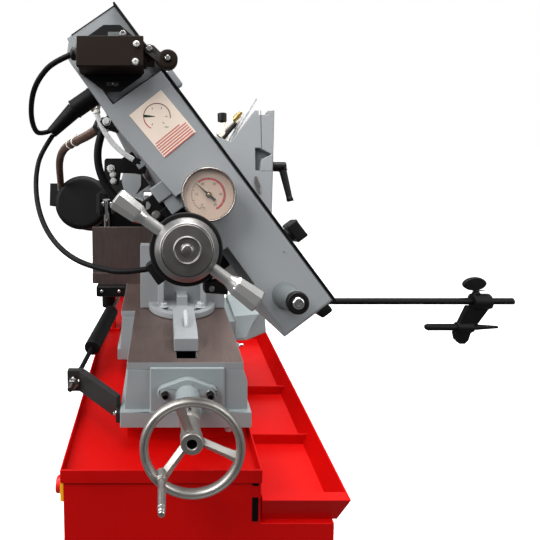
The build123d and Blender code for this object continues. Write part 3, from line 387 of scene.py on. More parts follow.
def lathe(prof, seg=48, closed=False):
    """Profile of (radius, height); closed joins the last point to the first, as on a ring."""
    loops = [circle(seg, max(r, 0.001), z) for r, z in prof]
    if closed:
        bm = bmesh.new()
        rows = [[bm.verts.new(p) for p in lp] for lp in loops]
        for k in range(len(rows)):
            a, b = rows[k], rows[(k + 1) % len(rows)]
            for i in range(seg):
                j = (i + 1) % seg
                bm.faces.new((a[i], a[j], b[j], b[i]))
        bmesh.ops.recalc_face_normals(bm, faces=bm.faces)
        return bm
    return skin(loops)


def rounded(prof, r=0.8, n=3):
    """Rounds the inner corners of a lathe profile with small arcs."""
    out = [prof[0]]
    for k in range(1, len(prof) - 1):
        p, a, b = Vector(prof[k]), Vector(prof[k - 1]), Vector(prof[k + 1])
        da, db = a - p, b - p
        if da.length < 1e-6 or db.length < 1e-6:
            continue
        t = min(r, da.length * 0.45, db.length * 0.45)
        p0, p1 = p + da.normalized() * t, p + db.normalized() * t
        for i in range(n + 1):
            f = i / n
            q = (1 - f) * (1 - f) * p0 + 2 * f * (1 - f) * p + f * f * p1
            out.append((q.x, q.y))
    out.append(prof[-1])
    return out


def rbox(x0, x1, y0, y1, z0, z1, r=1.5, seg=3):
    bm = bmesh.new()
    bmesh.ops.create_cube(bm, size=1.0)
    for v in bm.verts:
        v.co = Vector(((x0 + x1) / 2 + v.co.x * (x1 - x0), (y0 + y1) / 2 + v.co.y * (y1 - y0), (z0 + z1) / 2 + v.co.z * (z1 - z0)))
    if r > 0:
        bmesh.ops.bevel(bm, geom=list(bm.edges), offset=r, segments=seg, profile=0.5, affect="EDGES", clamp_overlap=True)
    return bm


def prism(pts, h0, h1, r=0.0, seg=2):
    """Polygon in x, y raised from h0 to h1 along z, its edges rounded."""
    bm = skin([[Vector((x, y, h0)) for x, y in pts], [Vector((x, y, h1)) for x, y in pts]])
    if r > 0:
        bmesh.ops.bevel(bm, geom=list(bm.edges), offset=r, segments=seg, profile=0.5, affect="EDGES", clamp_overlap=True)
    return bm


def pipe(pts, radii, seg=16, cap=True):
    """Round bar along points, one radius or one for each point."""
    pts = [Vector(p) for p in pts]
    if not hasattr(radii, "__len__"):
        radii = [radii] * len(pts)
    loops, x = [], None
    for i, p in enumerate(pts):
        t = (pts[min(i + 1, len(pts) - 1)] - pts[max(i - 1, 0)]).normalized()
        if x is None:
            x = t.orthogonal().normalized()
        x = (x - t * x.dot(t)).normalized()
        y = t.cross(x)
        loops.append([p + radii[i] * (cos(2 * pi * k / seg) * x + sin(2 * pi * k / seg) * y) for k in range(seg)])
    return skin(loops, cap, cap)


def join(*bms):
    """Several separate shells in one mesh."""
    out = bmesh.new()
    for b in bms:
        me = bpy.data.meshes.new("tmp")
        b.to_mesh(me)
        b.free()
        out.from_mesh(me)
        bpy.data.meshes.remove(me)
    return out


def face_to(origin, axis, up=(0, 0, 1)):
    """Frame with z along axis at origin; x is square to up."""
    z = Vector(axis).normalized()
    x = Vector(up).cross(z)
    if x.length < 1e-6:
        x = Vector((1, 0, 0)).cross(z)
    x.normalize()
    y = z.cross(x)
    o = Vector(origin)
    return Matrix(((x.x, y.x, z.x, o.x), (x.y, y.y, z.y, o.y), (x.z, y.z, z.z, o.z), (0, 0, 0, 1)))


def make(name, bm, body, mat, M=ID, angle=32, bevel=0.0, bseg=2, node=None, weighted=True):
    bm.transform(SC @ M)
    me = bpy.data.meshes.new(name)
    bm.to_mesh(me)
    bm.free()
    me.materials.append(mat)
    me.shade_smooth()
    me.set_sharp_from_angle(angle=radians(angle))
    ob = bpy.data.objects.new(name, me)
    scene.collection.objects.link(ob)
    if bevel:
        b = ob.modifiers.new("edge", "BEVEL")
        b.width = bevel * MM
        b.segments = bseg
        b.limit_method = "ANGLE"
        b.angle_limit = radians(angle)
    if weighted:
        w = ob.modifiers.new("normals", "WEIGHTED_NORMAL")
        w.keep_sharp = not bevel
    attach(ob, body)
    if node:
        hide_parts(node)
    return ob


def hex_bolt(af, h, washer=None):
    """Hexagon head with a chamfered top, and a washer under it; z = 0 is the seat."""
    n = 36
    z0 = 1.6 if washer else 0.0
    b = skin([hexagon(n, af, z0), hexagon(n, af, z0 + h * 0.84), [v * 1.0 for v in circle(n, af * 0.475, z0 + h)]])
    if washer:
        return join(b, lathe(rounded([(af * 0.3, 0), (washer / 2, 0), (washer / 2, 1.6), (af * 0.3, 1.6)], 0.4), 36))
    return b


def socket_screw(d, h, key, dome=0.0):
    """Round head with a hexagon socket; z = 0 is the seat."""
    n = 36
    loops = [circle(n, d / 2, 0), circle(n, d / 2, h * 0.8), circle(n, d / 2 - h * 0.09, h * 0.94), circle(n, d / 2 - h * 0.2, h)]
    if dome:
        loops = [circle(n, d / 2, 0), circle(n, d / 2, h * 0.25), circle(n, d * 0.46, h * 0.55), circle(n, d * 0.36, h * 0.85), circle(n, d * 0.3, h)]
    loops += [hexagon(n, key, h), hexagon(n, key * 0.96, h * 0.35)]
    return skin(loops)


def cross_screw(d, h):
    """Pan head with a cross recess cut by a sunk star."""
    n = 48
    star = []
    for i in range(n):
        a = 2 * pi * i / n
        k = abs(((a + pi / 4) % (pi / 2)) - pi / 4)
        r = d * 0.34 if k < 0.22 else d * 0.12
        star.append(Vector((r * cos(a), r * sin(a), 0)))
    loops = [circle(n, d / 2, 0), circle(n, d / 2, h * 0.35), circle(n, d * 0.47, h * 0.7), circle(n, d * 0.40, h * 0.94)]
    loops += [[Vector((v.x, v.y, h)) for v in star], [Vector((v.x * 0.8, v.y * 0.8, h * 0.45)) for v in star]]
    return skin(loops)


def nut(af, h, bore):
    n = 36
    loops = [circle(n, bore, 0), circle(n, af * 0.47, 0), hexagon(n, af, h * 0.12), hexagon(n, af, h * 0.88), circle(n, af * 0.47, h), circle(n, bore, h)]
    bm = bmesh.new()
    rows = [[bm.verts.new(p) for p in lp] for lp in loops]
    for k in range(len(rows)):
        a, b = rows[k], rows[(k + 1) % len(rows)]
        for i in range(n):
            j = (i + 1) % n
            bm.faces.new((a[i], a[j], b[j], b[i]))
    bmesh.ops.recalc_face_normals(bm, faces=bm.faces)
    return bm


def toward(x, y, z):
    """On the bow, a frame that looks out of its front face."""
    return BOW @ face_to((x, y, z), (0, -1, 0))


# ------------------------------------------------------------------ cables and hoses
def route_curve(name, pts, r, mat):
    cu = bpy.data.curves.new(name, "CURVE")
    cu.dimensions = "3D"
    sp = cu.splines.new("NURBS")
    sp.points.add(len(pts) - 1)
    for p, q in zip(sp.points, pts):
        p.co = (q[0] * MM, q[1] * MM, q[2] * MM, 1.0)
    sp.order_u = 3
    sp.use_endpoint_u = True
    sp.resolution_u = 10
    cu.bevel_depth = r * MM
    cu.bevel_resolution = 5
    cu.use_fill_caps = True
    ob = bpy.data.objects.new(name, cu)
    if mat:
        cu.materials.append(mat)
    scene.collection.objects.link(ob)
    return ob


def centreline(pts):
    """Points read from the route's smooth line, in mm."""
    ob = route_curve("tmp_line", pts, 0.0, None)
    bpy.context.view_layer.update()
    me = bpy.data.meshes.new_from_object(ob.evaluated_get(bpy.context.evaluated_depsgraph_get()))
    out = [Vector(v.co) / MM for v in me.vertices]
    cu = ob.data
    bpy.data.objects.remove(ob)
    bpy.data.curves.remove(cu)
    bpy.data.meshes.remove(me)
    return out


R_SWITCH = [(-151.0, -663.0, 1328.4), (-171.0, -659.9, 1321.1), (-186.4, -651.3, 1308.2), (-197.6, -637.9, 1294.9), (-204.8, -622.9, 1280.6),
            (-208.9, -608.4, 1264.6), (-210.0, -591.2, 1251.3), (-209.2, -570.2, 1245.1), (-200.5, -552.6, 1249.0)]
R_SENSOR = [(-196.6, -553.6, 1243.7), (-210.1, -562.9, 1222.0), (-213.2, -575.8, 1197.5), (-210.2, -589.7, 1173.6), (-202.3, -605.2, 1151.8), (-189.4, -621.0, 1132.9),
            (-171.6, -636.0, 1117.7), (-149.7, -649.9, 1107.6), (-125.1, -662.3, 1103.8), (-99.3, -672.6, 1101.9), (-73.0, -676.8, 1107.7)]
R_BLACK = [(-163.1, -312.7, 1248.7), (-169.8, -313.8, 1228.5), (-172.6, -315.2, 1203.0), (-168.2, -317.4, 1175.5), (-154.5, -320.5, 1147.5), (-129.6, -327.8, 1121.4),
           (-101.2, -342.0, 1107.3), (-74.1, -363.4, 1105.0), (-53.2, -390.6, 1110.8), (-44.2, -423.1, 1118.6)]
R_CLEAR = [(-159.5, -423.8, 1282.7), (-156.9, -426.1, 1270.8), (-151.3, -428.7, 1257.4), (-142.7, -431.8, 1241.6), (-132.0, -434.4, 1228.2), (-118.5, -436.7, 1216.2),
           (-104.2, -438.5, 1206.9), (-94.4, -439.7, 1200.6)]
R_CORR = [(-178.6, -234.0, 1253.9), (-201.1, -194.6, 1241.2), (-227.3, -150.0, 1230.4), (-252.5, -103.0, 1221.6), (-276.2, -53.0, 1211.3), (-296.2, -3.0, 1197.2),
           (-311.9, 47.0, 1179.8), (-324.4, 97.0, 1159.6), (-334.1, 147.0, 1134.5), (-342.2, 196.0, 1103.7), (-351.0, 245.1, 1064.0)]

for name_, pts_, d_, mat_, slot_, len_, stiff_ in (
        ("cable_switch", R_SWITCH, 6.0, RUBBER, "rubber", 0.1715, "medium"), ("cable_sensor", R_SENSOR, 6.0, RUBBER, "rubber", 0.276, "medium"),
        ("hose_black", R_BLACK, 14.0, RUBBER, "rubber", 0.2797, "stiff"), ("hose_clear", R_CLEAR, 8.0, CLEAR, "hose_clear", 0.1097, "medium")):
    c_ = route_curve(name_ + "_line", pts_, d_ / 2, mat_)
    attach(c_, "bow")
    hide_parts(name_)

# corrugated conduit: a ribbed tube along its own smooth line
line = centreline(R_CORR)
dist = [0.0]
for a_, b_ in zip(line, line[1:]):
    dist.append(dist[-1] + (b_ - a_).length)


def at(s):
    for i in range(len(dist) - 1):
        if s <= dist[i + 1] or i == len(dist) - 2:
            f = (s - dist[i]) / max(1e-9, dist[i + 1] - dist[i])
            return line[i].lerp(line[i + 1], f)


ribs, rr = [], []
s_, pitch = 0.0, 4.6
while s_ < dist[-1] - 0.5:
    for ds, r_ in ((0.0, 7.9), (1.0, 8.1), (1.7, 9.4), (3.2, 9.4), (3.9, 8.1)):
        if s_ + ds < dist[-1]:
            ribs.append(at(s_ + ds))
            rr.append(r_)
    s_ += pitch
ribs.append(at(dist[-1]))
rr.append(7.9)
corr = make("hose_corrugated_ribs", pipe(ribs, rr, 20), "bow", CONDUIT, angle=60, node="hose_corrugated", weighted=False)

# nylon ties on the conduit
for k_, s_ in enumerate((134.0, 172.0)):
    p_, q_ = at(s_), at(s_ + 3.2)
    t_ = (q_ - p_).normalized()
    make("conduit_tie_%d" % k_, join(lathe(rounded([(9.3, 0), (10.9, 0), (10.9, 3.4), (9.3, 3.4)], 0.4), 32, True), rbox(-3, 3, 9.8, 15.5, -0.8, 4.2, 0.8)), "bow", TIE, face_to(p_, t_))

# ------------------------------------------------------------------ CAD nodes kept: finish and rounded edges
FINISH = {
    "cabinet_shell": (RED, 1.2), "cabinet_feet": (RED, 1.0), "cabinet_door": (RED, 1.0), "door_latch": (PLASTIC, 0.8), "coolant_pan": (RED, 1.0), "chip_tray": (RED, 0.7),
    "estop_base": (YELLOWP, 0.6), "estop_button": (REDP, 0.6),
    "vise_base": (VGREY, 2.0), "vise_table": (TABLETOP, 0.9), "screw_flange": (VGREY, 1.8), "vise_screw": (STEEL, 0.5), "jaw_slide": (GREY, 1.4), "movable_jaw": (GREY, 1.8),
    "fixed_jaw": (GREY, 1.6), "jaw_plate": (GROUND, 0.9), "stop_rod": (BLACKP, 0.8), "stop_arm": (BLACKP, 1.5), "stop_pin": (BLACKP, 0.6), "stop_knob": (PLASTIC, 2.2),
    "pivot_stand": (GREY, 2.0), "front_box": (GREY, 0.0), "cover_gaskets": (RUBBER, 0.5), "front_cover": (GREY, 0.8), "cover_latch": (PLASTIC, 1.4), "beam": (BEAMP, 1.2),
    "rear_box": (GREY, 1.5), "rear_cover": (GREY, 0.8), "idler_wheel": (CAST, 1.0), "drive_wheel": (CAST, 1.0), "band": (BANDST, 0.0), "tension_rails": (BLACKP, 1.2),
    "tension_carriage": (DARKST, 1.0), "gearbox": (BLACKP, 2.0), "motor": (BLACKP, 0.8), "feed_cylinder": (BLACKP, 0.8), "cylinder_rod": (CHROME, 0.5),
    "spring_anchor": (SHEETP, 0.8), "spring_hook": (STEEL, 0.0), "guide_arm": (GREY, 1.4), "guide_lever": (PLASTIC, 2.2), "coolant_tap": (CREAM, 0.8), "tap_knob": (PLASTIC, 1.4),
    "cable_boot": (RUBBER, 0.8), "switch_lever": (DARKST, 0.5), "switch_roller": (SWITCHP, 1.6),
}
for n_, (mat_, bev_) in FINISH.items():
    ob_ = NODES[n_]
    if not ob_.material_slots:
        ob_.data.materials.append(mat_)
    for s_ in ob_.material_slots:
        s_.material = mat_
    if bev_:
        w_ = ob_.modifiers.new("weld", "WELD")
        w_.merge_threshold = 0.00001
        b_ = ob_.modifiers.new("edge", "BEVEL")
        b_.width = bev_ * MM
        b_.segments = 2
        b_.limit_method = "ANGLE"
        b_.angle_limit = radians(35)
        b_.use_clamp_overlap = False
        n2_ = ob_.modifiers.new("normals", "WEIGHTED_NORMAL")
        n2_.keep_sharp = False

# ------------------------------------------------------------------ vise handwheel
VX, VZ, WY = -16.5, 801.0, -513.0
WH = face_to((VX, WY, VZ), (0, -1, 0))          # x right, y up, z toward the operator
RIM = [(75.0, -1.5), (74.9, 1.2), (74.2, 3.6), (73.0, 5.3), (71.6, 6.2), (70.2, 6.4), (69.5, 6.0), (69.2, 5.2), (68.7, 4.9), (68.2, 5.2), (67.9, 6.0), (67.0, 6.4), (65.4, 6.0), (64.0, 5.0), (62.9, 3.3), (62.3, 1.2),
       (62.1, -1.2), (62.5, -3.8), (63.8, -5.4), (66.0, -6.3), (68.5, -6.5), (71.2, -6.3), (73.2, -5.4), (74.5, -3.8)]
hub = rounded([(7.4, -17.6), (7.4, -9.0), (8.4, -8.0), (15.4, -8.0), (16.8, -9.6), (16.8, -28.0), (16.2, -29.0), (15.0, -33.0), (15.0, -58.0), (16.8, -62.0), (16.8, -81.8), (15.8, -83.0), (10.0, -83.0)], 0.8)
spokes = []
for ang in (107, 227, 347):
    a = radians(ang)
    dx, dy = Vector((cos(a), sin(a), 0)), Vector((-sin(a), cos(a), 0))
    loops = []
    for r, w, t, zc in ((9.0, 14.0, 14.5, -22.0), (14.0, 14.0, 13.5, -20.6), (20.0, 13.6, 12.2, -18.6), (34.0, 13.4, 10.6, -13.6), (48.0, 13.8, 10.0, -8.6), (58.0, 15.2, 9.8, -5.0), (64.5, 18.0, 9.6, -2.6), (69.0, 21.0, 9.0, -1.0)):
        sec = [(w / 2, -0.7), (w / 2, 0.7), (0.7, t / 2), (-0.7, t / 2), (-w / 2, 0.7), (-w / 2, -0.7), (-0.7, -t / 2), (0.7, -t / 2)]
        loops.append([dx * r + dy * p + Vector((0, 0, q + zc)) for p, q in sec])
    spokes.append(skin(loops))
GRA = radians(223.5)
boss = lathe(rounded([(3.0, -6), (8.4, -6), (8.0, 2.0), (7.4, 7.4), (6.6, 8.6), (6.2, 11.2), (3.0, 11.2)], 0.8), 32)
boss.transform(Matrix.Translation((60 * cos(GRA), 60 * sin(GRA), 0)))
make("handwheel_casting", join(lathe(RIM, 120, True), lathe(hub, 64, True), boss, *spokes), "handwheel", CASTALU, WH, angle=30, node="handwheel")
# Painted shade: the deep black lining and floor of the hub's bore stand in for the darkness inside the hole.
make("handwheel_bore", lathe(rounded([(0.01, -16.2), (7.0, -16.2), (7.3, -15.6), (7.3, -10.0), (7.36, -9.6), (7.36, -17.4), (0.01, -17.4)], 0.2), 40), "handwheel", DEEP, WH)
make("handwheel_key", rbox(-2.4, 2.4, 6.2, 7.3, -16.0, -10.6, 0.3), "handwheel", STEEL, WH)
make("handwheel_pin", lathe(rounded([(0.01, 10), (2.7, 10), (2.7, 69.4), (4.6, 69.6), (4.6, 71.2), (3.4, 72.4), (0.01, 72.5)], 0.6), 28), "handwheel", ALU, WH @ Matrix.Translation((60 * cos(GRA), 60 * sin(GRA), 0)))
make("handwheel_set_screw", socket_screw(5.4, 2.0, 2.6), "handwheel", DARKST, WH @ face_to((0, 16.6, -70), (0, 1, 0), (1, 0, 0)))
GRP = face_to((VX + 60 * cos(GRA), WY - 11.5, VZ + 60 * sin(GRA)), (0, -1, 0))
make("handwheel_grip_sleeve", lathe(rounded([(3.1, 0.0), (5.2, 0.0), (5.6, 1.2), (5.6, 4.0), (5.3, 4.8), (5.3, 6.0), (5.7, 7.0), (5.8, 30.0), (5.8, 49.0), (5.1, 50.4), (5.1, 51.6), (5.6, 52.4), (5.3, 55.2), (4.4, 57.0), (3.1, 57.0)], 0.6, 4), 48, True),
     "handwheel_grip", ALU, GRP, angle=50, node="handwheel_grip")

# ------------------------------------------------------------------ tension hub and arms
HB = toward(HUBX, 0, HUBZ)                     # z is minus local y
hubp = rounded([(9.0, 165), (9.0, 169), (22.0, 169.5), (22.0, 198.6), (29.0, 199.0), (30.0, 200.2), (30.0, 212.5), (29.2, 214.4), (24.9, 221.0), (24.0, 221.6), (24.0, 219.6), (0.01, 219.6)], 0.6)
make("tension_hub", lathe(hubp, 96), "tension_handle", HUBRIM, HB, angle=40, node="tension_screw")
disc = rounded([(0.01, 219.0), (23.4, 219.0), (23.4, 222.2), (22.8, 222.8), (12.9, 223.2), (12.4, 223.7), (12.2, 225.2), (11.7, 225.7), (11.2, 225.4), (10.8, 223.9), (6.2, 223.8), (5.4, 225.0), (4.2, 225.9), (0.01, 226.4)], 0.45)
make("tension_disc", lathe(disc, 96), "tension_handle", TURNED, HB, angle=40)
make("tension_ring", lathe(rounded([(11.3, 224.6), (12.4, 224.6), (12.3, 225.4), (11.8, 226.0), (11.3, 225.4)], 0.3), 96, True), "tension_handle", HUBRIM, HB, angle=60)
make("tension_screw_bar", lathe(rounded([(0.01, -50), (8.0, -50), (9.0, -48.5), (9.0, 170), (0.01, 170)], 0.5), 40), "tension_handle", STEEL, HB)
make("tension_skirt", lathe(rounded([(22.0, 195.4), (34.0, 195.4), (35.0, 196.4), (35.0, 201.0), (34.0, 202.2), (30.2, 202.3), (30.2, 199.4), (22.0, 199.2)], 0.7), 96, True), "tension_handle", PLASTIC, HB)
aw = radians(36.0)
ex = (cos(LEAN) * cos(aw) + sin(LEAN) * sin(aw), sin(LEAN) * cos(aw) - cos(LEAN) * sin(aw))
arm_bms = []
for s in (1, -1):
    F = face_to((HUBX + s * 28.4 * ex[0], -207.0, HUBZ + s * 28.4 * ex[1]), (s * ex[0], 0, s * ex[1]), (0, 1, 0))
    neck = lathe(rounded([(0.01, 0.0), (5.8, 0.0), (5.8, 19.0), (6.4, 21.4), (8.6, 26.6), (9.2, 28.0), (0.01, 28.2)], 0.8, 3), 40)
    loops = []
    for r, z in ((8.6, 26.0), (9.6, 27.4), (9.9, 29.0), (11.4, 50.6), (11.3, 52.0), (9.9, 53.6), (9.6, 53.6)):
        loops.append([Vector((r * cos(pi / 4 * i + pi / 8), r * sin(pi / 4 * i + pi / 8), z)) for i in range(8)])
    grip_ = skin(loops)
    for b in (neck, grip_):
        b.transform(F)
    arm_bms += [neck, grip_]
make("tension_arm_pair", join(*arm_bms), "tension_handle", ARMSTEEL, BOW, angle=24, bevel=0.3, node="tension_arms")

# ------------------------------------------------------------------ gauge
GCX, GCZ = 32.4, -11.7
GA = toward(GCX, 0, GCZ)
make("gauge_body", lathe(rounded([(0.01, 165.2), (23.6, 165.2), (24.3, 166.0), (24.3, 186.6), (23.2, 188.0), (0.01, 188.2)], 0.8), 96), "bow", STEEL, GA, node="gauge_case")
make("gauge_bezel", lathe(rounded([(24.4, 184.6), (26.4, 184.6), (27.2, 185.6), (27.3, 191.0), (26.9, 193.4), (26.2, 194.5), (25.3, 194.4), (24.7, 193.2), (24.5, 189.4), (24.5, 189.2)], 0.5), 128, True), "bow", BEZEL, GA, angle=50)
make("gauge_dial", lathe([(0.01, 187.6), (24.7, 187.6), (24.7, 188.8), (24.4, 189.0), (0.01, 189.0)], 96), "bow", DIALCARD, GA)
make("gauge_window", lathe(rounded([(0.01, 192.3), (24.6, 192.3), (24.6, 192.9), (0.01, 193.1)], 0.2), 96), "bow", GLASS, GA, weighted=False)


def view_frame(local_x, local_z, y):
    """A frame on the bow's face whose x is level to the right and y up."""
    return BOW @ Matrix.Translation((local_x, y, local_z)) @ Matrix.Rotation(-LEAN, 4, "Y") @ face_to((0, 0, 0), (0, -1, 0))


def arc(r0, r1, a0, a1, h0, h1, n=40):
    """Flat arc, angles counter-clockwise from the right."""
    loops = []
    for i in range(n + 1):
        a = radians(a0 + (a1 - a0) * i / n)
        c, s = cos(a), sin(a)
        loops.append([Vector((r0 * c, r0 * s, h0)), Vector((r1 * c, r1 * s, h0)), Vector((r1 * c, r1 * s, h1)), Vector((r0 * c, r0 * s, h1))])
    return skin(loops)


def tick(r0, r1, ang, w, h0, h1):
    b = rbox(r0, r1, -w / 2, w / 2, h0, h1, 0.0)
    b.transform(Matrix.Rotation(radians(ang), 4, "Z"))
    return b


def digits(text, x, y, size, mat, M, name, body, h=0.12):
    cu = bpy.data.curves.new(name, "FONT")
    cu.body = text
    cu.size = size
    cu.extrude = h / 2
    cu.align_x, cu.align_y = "CENTER", "CENTER"
    ob = bpy.data.objects.new(name, cu)
    scene.collection.objects.link(ob)
    bpy.context.view_layer.update()
    me = bpy.data.meshes.new_from_object(ob.evaluated_get(bpy.context.evaluated_depsgraph_get()))
    bpy.data.objects.remove(ob)
    bpy.data.curves.remove(cu)
    b = bmesh.new()
    b.from_mesh(me)
    bpy.data.meshes.remove(me)
    b.transform(Matrix.Translation((x, y, h / 2)))
    return make(name, b, body, mat, M, weighted=False)


GD = view_frame(GCX, GCZ, -189.0)
make("gauge_red_arc", arc(14.7, 16.6, -62, 128, 0.0, 0.12), "bow", MARKRED, GD, weighted=False)
make("gauge_scale", join(arc(16.7, 16.95, -58, 238, 0.0, 0.12, 60), *[tick(14.6 if k % 5 == 0 else 15.7, 16.9, -58 + 296 * k / 40, 0.5 if k % 5 == 0 else 0.26, 0.0, 0.13) for k in range(41)]),
     "bow", MARK, GD, weighted=False)
for k, (t, a) in enumerate((("0", 238), ("10", 179), ("20", 120), ("30", 61), ("40", 2), ("50", -57))):
    digits(t, 12.0 * cos(radians(a)), 12.0 * sin(radians(a)), 3.6, MARK, GD, "gauge_number_%d" % k, "bow")
make("gauge_stop_pin", lathe(rounded([(0.01, 0), (0.8, 0), (0.8, 2.0), (0.01, 2.2)], 0.3), 16), "bow", STEEL, GD @ Matrix.Translation((13.0 * cos(radians(246)), 13.0 * sin(radians(246)), 0)))
ND = view_frame(GCX, GCZ, -189.9) @ Matrix.Rotation(atan2(11.8, -13.1), 4, "Z")
needle = join(prism([(-8.6, -1.45), (-4.0, -1.2), (0, -1.1), (15.6, -0.28), (16.2, 0), (15.6, 0.28), (0, 1.1), (-4.0, 1.2), (-8.6, 1.45)], 0.2, 0.9, 0.12, 1),
              lathe(rounded([(1.65, -0.1), (2.8, -0.1), (2.9, 0.6), (2.5, 1.1), (1.65, 1.2)], 0.3), 32, True))
make("gauge_needle_hand", needle, "gauge_needle", DEEP, ND, node="gauge_needle")
make("gauge_needle_boss", lathe(rounded([(0.01, -0.8), (1.5, -0.8), (1.5, 2.0), (0.01, 2.2)], 0.4), 24), "bow", BRASS, view_frame(GCX, GCZ, -189.8))

# ------------------------------------------------------------------ limit switch
SY = FACE - 3.5


def lv(x, y, z):
    """On the switch: a frame looking out of its front."""
    return LEVEL @ face_to((x, y, z), (0, -1, 0))


SWP = LEVEL @ face_to((0, 0, 0), (0, -1, 0))
make("switch_plate", prism([(-35.5, -12.0), (-9.0, -32.4), (8.4, -32.8), (30.8, -16.0), (30.8, 18.5), (7.2, 39.7), (-10.5, 39.7), (-35.5, 21.0)], 165.2, 168.4, 0.7, 2), "bow", BLACKP, SWP)
make("switch_standoffs", join(rbox(-174, -164, -165.6, -157.8, -6, 8, 1.0), rbox(-122, -112, -165.6, -157.8, -8, 6, 1.0)), "bow", BLACKP, BOW)
sbody = rbox(-33.0, 33.0, SY - 29.4, SY - 0.2, -15.2, 15.2, 1.6, 3)
slid = rbox(-33.4, 33.4, SY - 31.0, SY - 26.6, -15.6, 15.6, 1.0, 3)
make("switch_body", join(sbody, slid), "bow", SWITCHP, LEVEL, node="limit_switch")
make("switch_head", join(rbox(32.4, 44.6, SY - 20.0, SY - 3, -8, 9.6, 1.4, 3), rbox(33, 36, SY - 22, SY - 2, -10, 11, 0.8)), "bow", SWITCHP, LEVEL)
make("switch_gland", lathe(rounded([(3.1, 0), (7.6, 0), (7.6, 2.2), (6.6, 2.6), (6.6, 6.6), (5.2, 8.2), (3.1, 8.4)], 0.6), 36, True), "bow", PLASTIC, LEVEL @ face_to((-33.2, SY - 15, 2), (-1, 0, 0)))
for k, (x, z) in enumerate(((26.6, 6.5), (25.6, -11.4))):
    make("switch_screw_%d" % k, cross_screw(7.1, 2.8), "bow", ZINC, lv(x, SY - 30.8, z))
# Painted shade: dark grey paint stands in for the light grey slot lying in shade.
make("plate_slot_top", rbox(-5.4, 7.0, SY - 0.5, SY + 0.4, 26.4, 31.4, 0.4), "bow", DGREY, LEVEL)
make("plate_bolt_top", socket_screw(7.8, 4.6, 3.8, 1), "bow", ZINC, lv(10.6, SY - 0.2, 28.8))
make("plate_slot_low", rbox(-6.0, 6.6, SY - 0.45, SY + 0.4, -27.2, -22.8, 0.4), "bow", DARKST, LEVEL)
make("plate_bolt_low", socket_screw(6.4, 2.2, 3.0, 1), "bow", DARKST, lv(2.6, SY - 0.3, -25.0))
make("roller_screw", cross_screw(5.6, 1.6), "switch_lever", CHROME, lv(57.5, SY - 36.8, -9.4))
make("lever_screw", cross_screw(6.4, 1.6), "switch_lever", STEEL, lv(39.0, SY - 25.9, 4.0))

FLAT = Matrix(((1, 0, 0, 0), (0, 0, -1, 0), (0, 1, 0, 0), (0, 0, 0, 1)))          # x along the face, y up the face, z out of it

# ------------------------------------------------------------------ pull handle
HD = toward(160.0, 0, -7.0)
make("bow_handle_stem", lathe(rounded([(0.01, 164.8), (13.6, 164.8), (13.2, 168.0), (12.4, 172.0), (11.4, 178.0), (11.0, 186.0), (10.9, 205.0), (10.7, 208.6), (0.01, 208.8)], 1.6, 4), 64), "bow", DGREY, HD, angle=50, node="bow_handle")
make("bow_handle_ring", lathe(rounded([(4.6, 208.2), (10.0, 208.2), (10.5, 209.2), (10.5, 213.6), (9.4, 215.2), (5.9, 215.2), (4.6, 214.2)], 0.8), 64, True), "bow", PLASTIC, HD)
make("bow_handle_bolt", socket_screw(11.0, 7.0, 5.6), "bow", CHROME, HD @ Matrix.Translation((0, 0, 210.4)))

# ------------------------------------------------------------------ printed plate on the face: a plain dial and ruled lines
TILT = Matrix.Translation((-55.6, -3.9, 0)) @ Matrix.Rotation(radians(3.7), 4, "Z") @ Matrix.Translation((55.6, 3.9, 0))
make("face_plate", rbox(-84.6, -26.6, -25.4, 17.6, 165.0, 165.5, 0.2, 1), "bow", PLATECARD, BOW @ FLAT @ TILT)
LD = view_frame(-65.2, -4.2, FACE - 0.5)
make("face_dial_arc", arc(13.5, 14.4, -8, 178, 0.0, 0.14, 64), "bow", MARKBROWN, LD, weighted=False)
make("face_dial_arc_low", arc(13.5, 14.4, 178, 244, 0.0, 0.14, 32), "bow", MARKRED, LD, weighted=False)
make("face_dial_ticks", join(*[tick(8.8, 10.8, a, 0.6, 0.0, 0.14) for a in (-45, 0, 62, 120, 240)], rbox(8.2, 12.2, -11.6, -11.0, 0.0, 0.14, 0.0)), "bow", MARK, LD, weighted=False)
make("face_dial_pointer", prism([(-14.2, 1.6), (-12.0, 1.7), (-2.0, 0.3), (-2.0, -0.2), (-12.0, -1.0), (-14.2, -0.9)], 0.14, 0.3), "bow", MARKGREEN, LD, weighted=False)
rules = []
for k in range(7):
    x = -44.0 + 2.75 * k
    rules.append(rbox(x, x + 1.15, -24.5 if k else -23.0, 15.5 if k else 9.0, 165.5, 165.62, 0.0))
make("face_rules", join(*rules), "bow", MARKROSE, BOW @ FLAT @ TILT, weighted=False)

# ------------------------------------------------------------------ small parts on the bow's front
make("bow_bumper", rbox(192.6, 201.5, -163, -132, 10, 24, 2.4, 3), "bow", RUBBER, BOW)
make("end_trim", rbox(-193.9, -192.8, -158.6, -142.0, -26, 30.4, 0.4), "bow", RUBBER, BOW)
# Painted shade: thin dark rubber strips along the pocket's step stand in for the shadow line in the gap there.
make("pocket_step_painted_shade", join(rbox(-103.9, -102.8, -165.3, -157.6, -33.9, 30, 0.2), rbox(-166, -102.8, -165.3, -157.6, -34.2, -33.1, 0.2)), "bow", RUBBER, BOW)
make("sensor_cover", rbox(53.2, 76.8, -166.4, -131, -105, -83.6, 1.6, 3), "bow", PLASTIC, BOW)
for k, x in enumerate((57.6, 72.4)):
    make("sensor_screw_%d" % k, cross_screw(4.6, 1.4), "bow", STEEL, toward(x, -166.3, -94.0))
make("switch_block", prism([(104.0, -66.0), (112.8, -71.8), (128.5, -53.0), (118.0, -44.0), (112.0, -50.0)], 124.0, 150.0, 1.4), "bow", PLASTIC, BOW @ FLAT)
make("switch_block_bolt", cross_screw(6.0, 1.6), "bow", STEEL, toward(113.5, -149.8, -63.0))
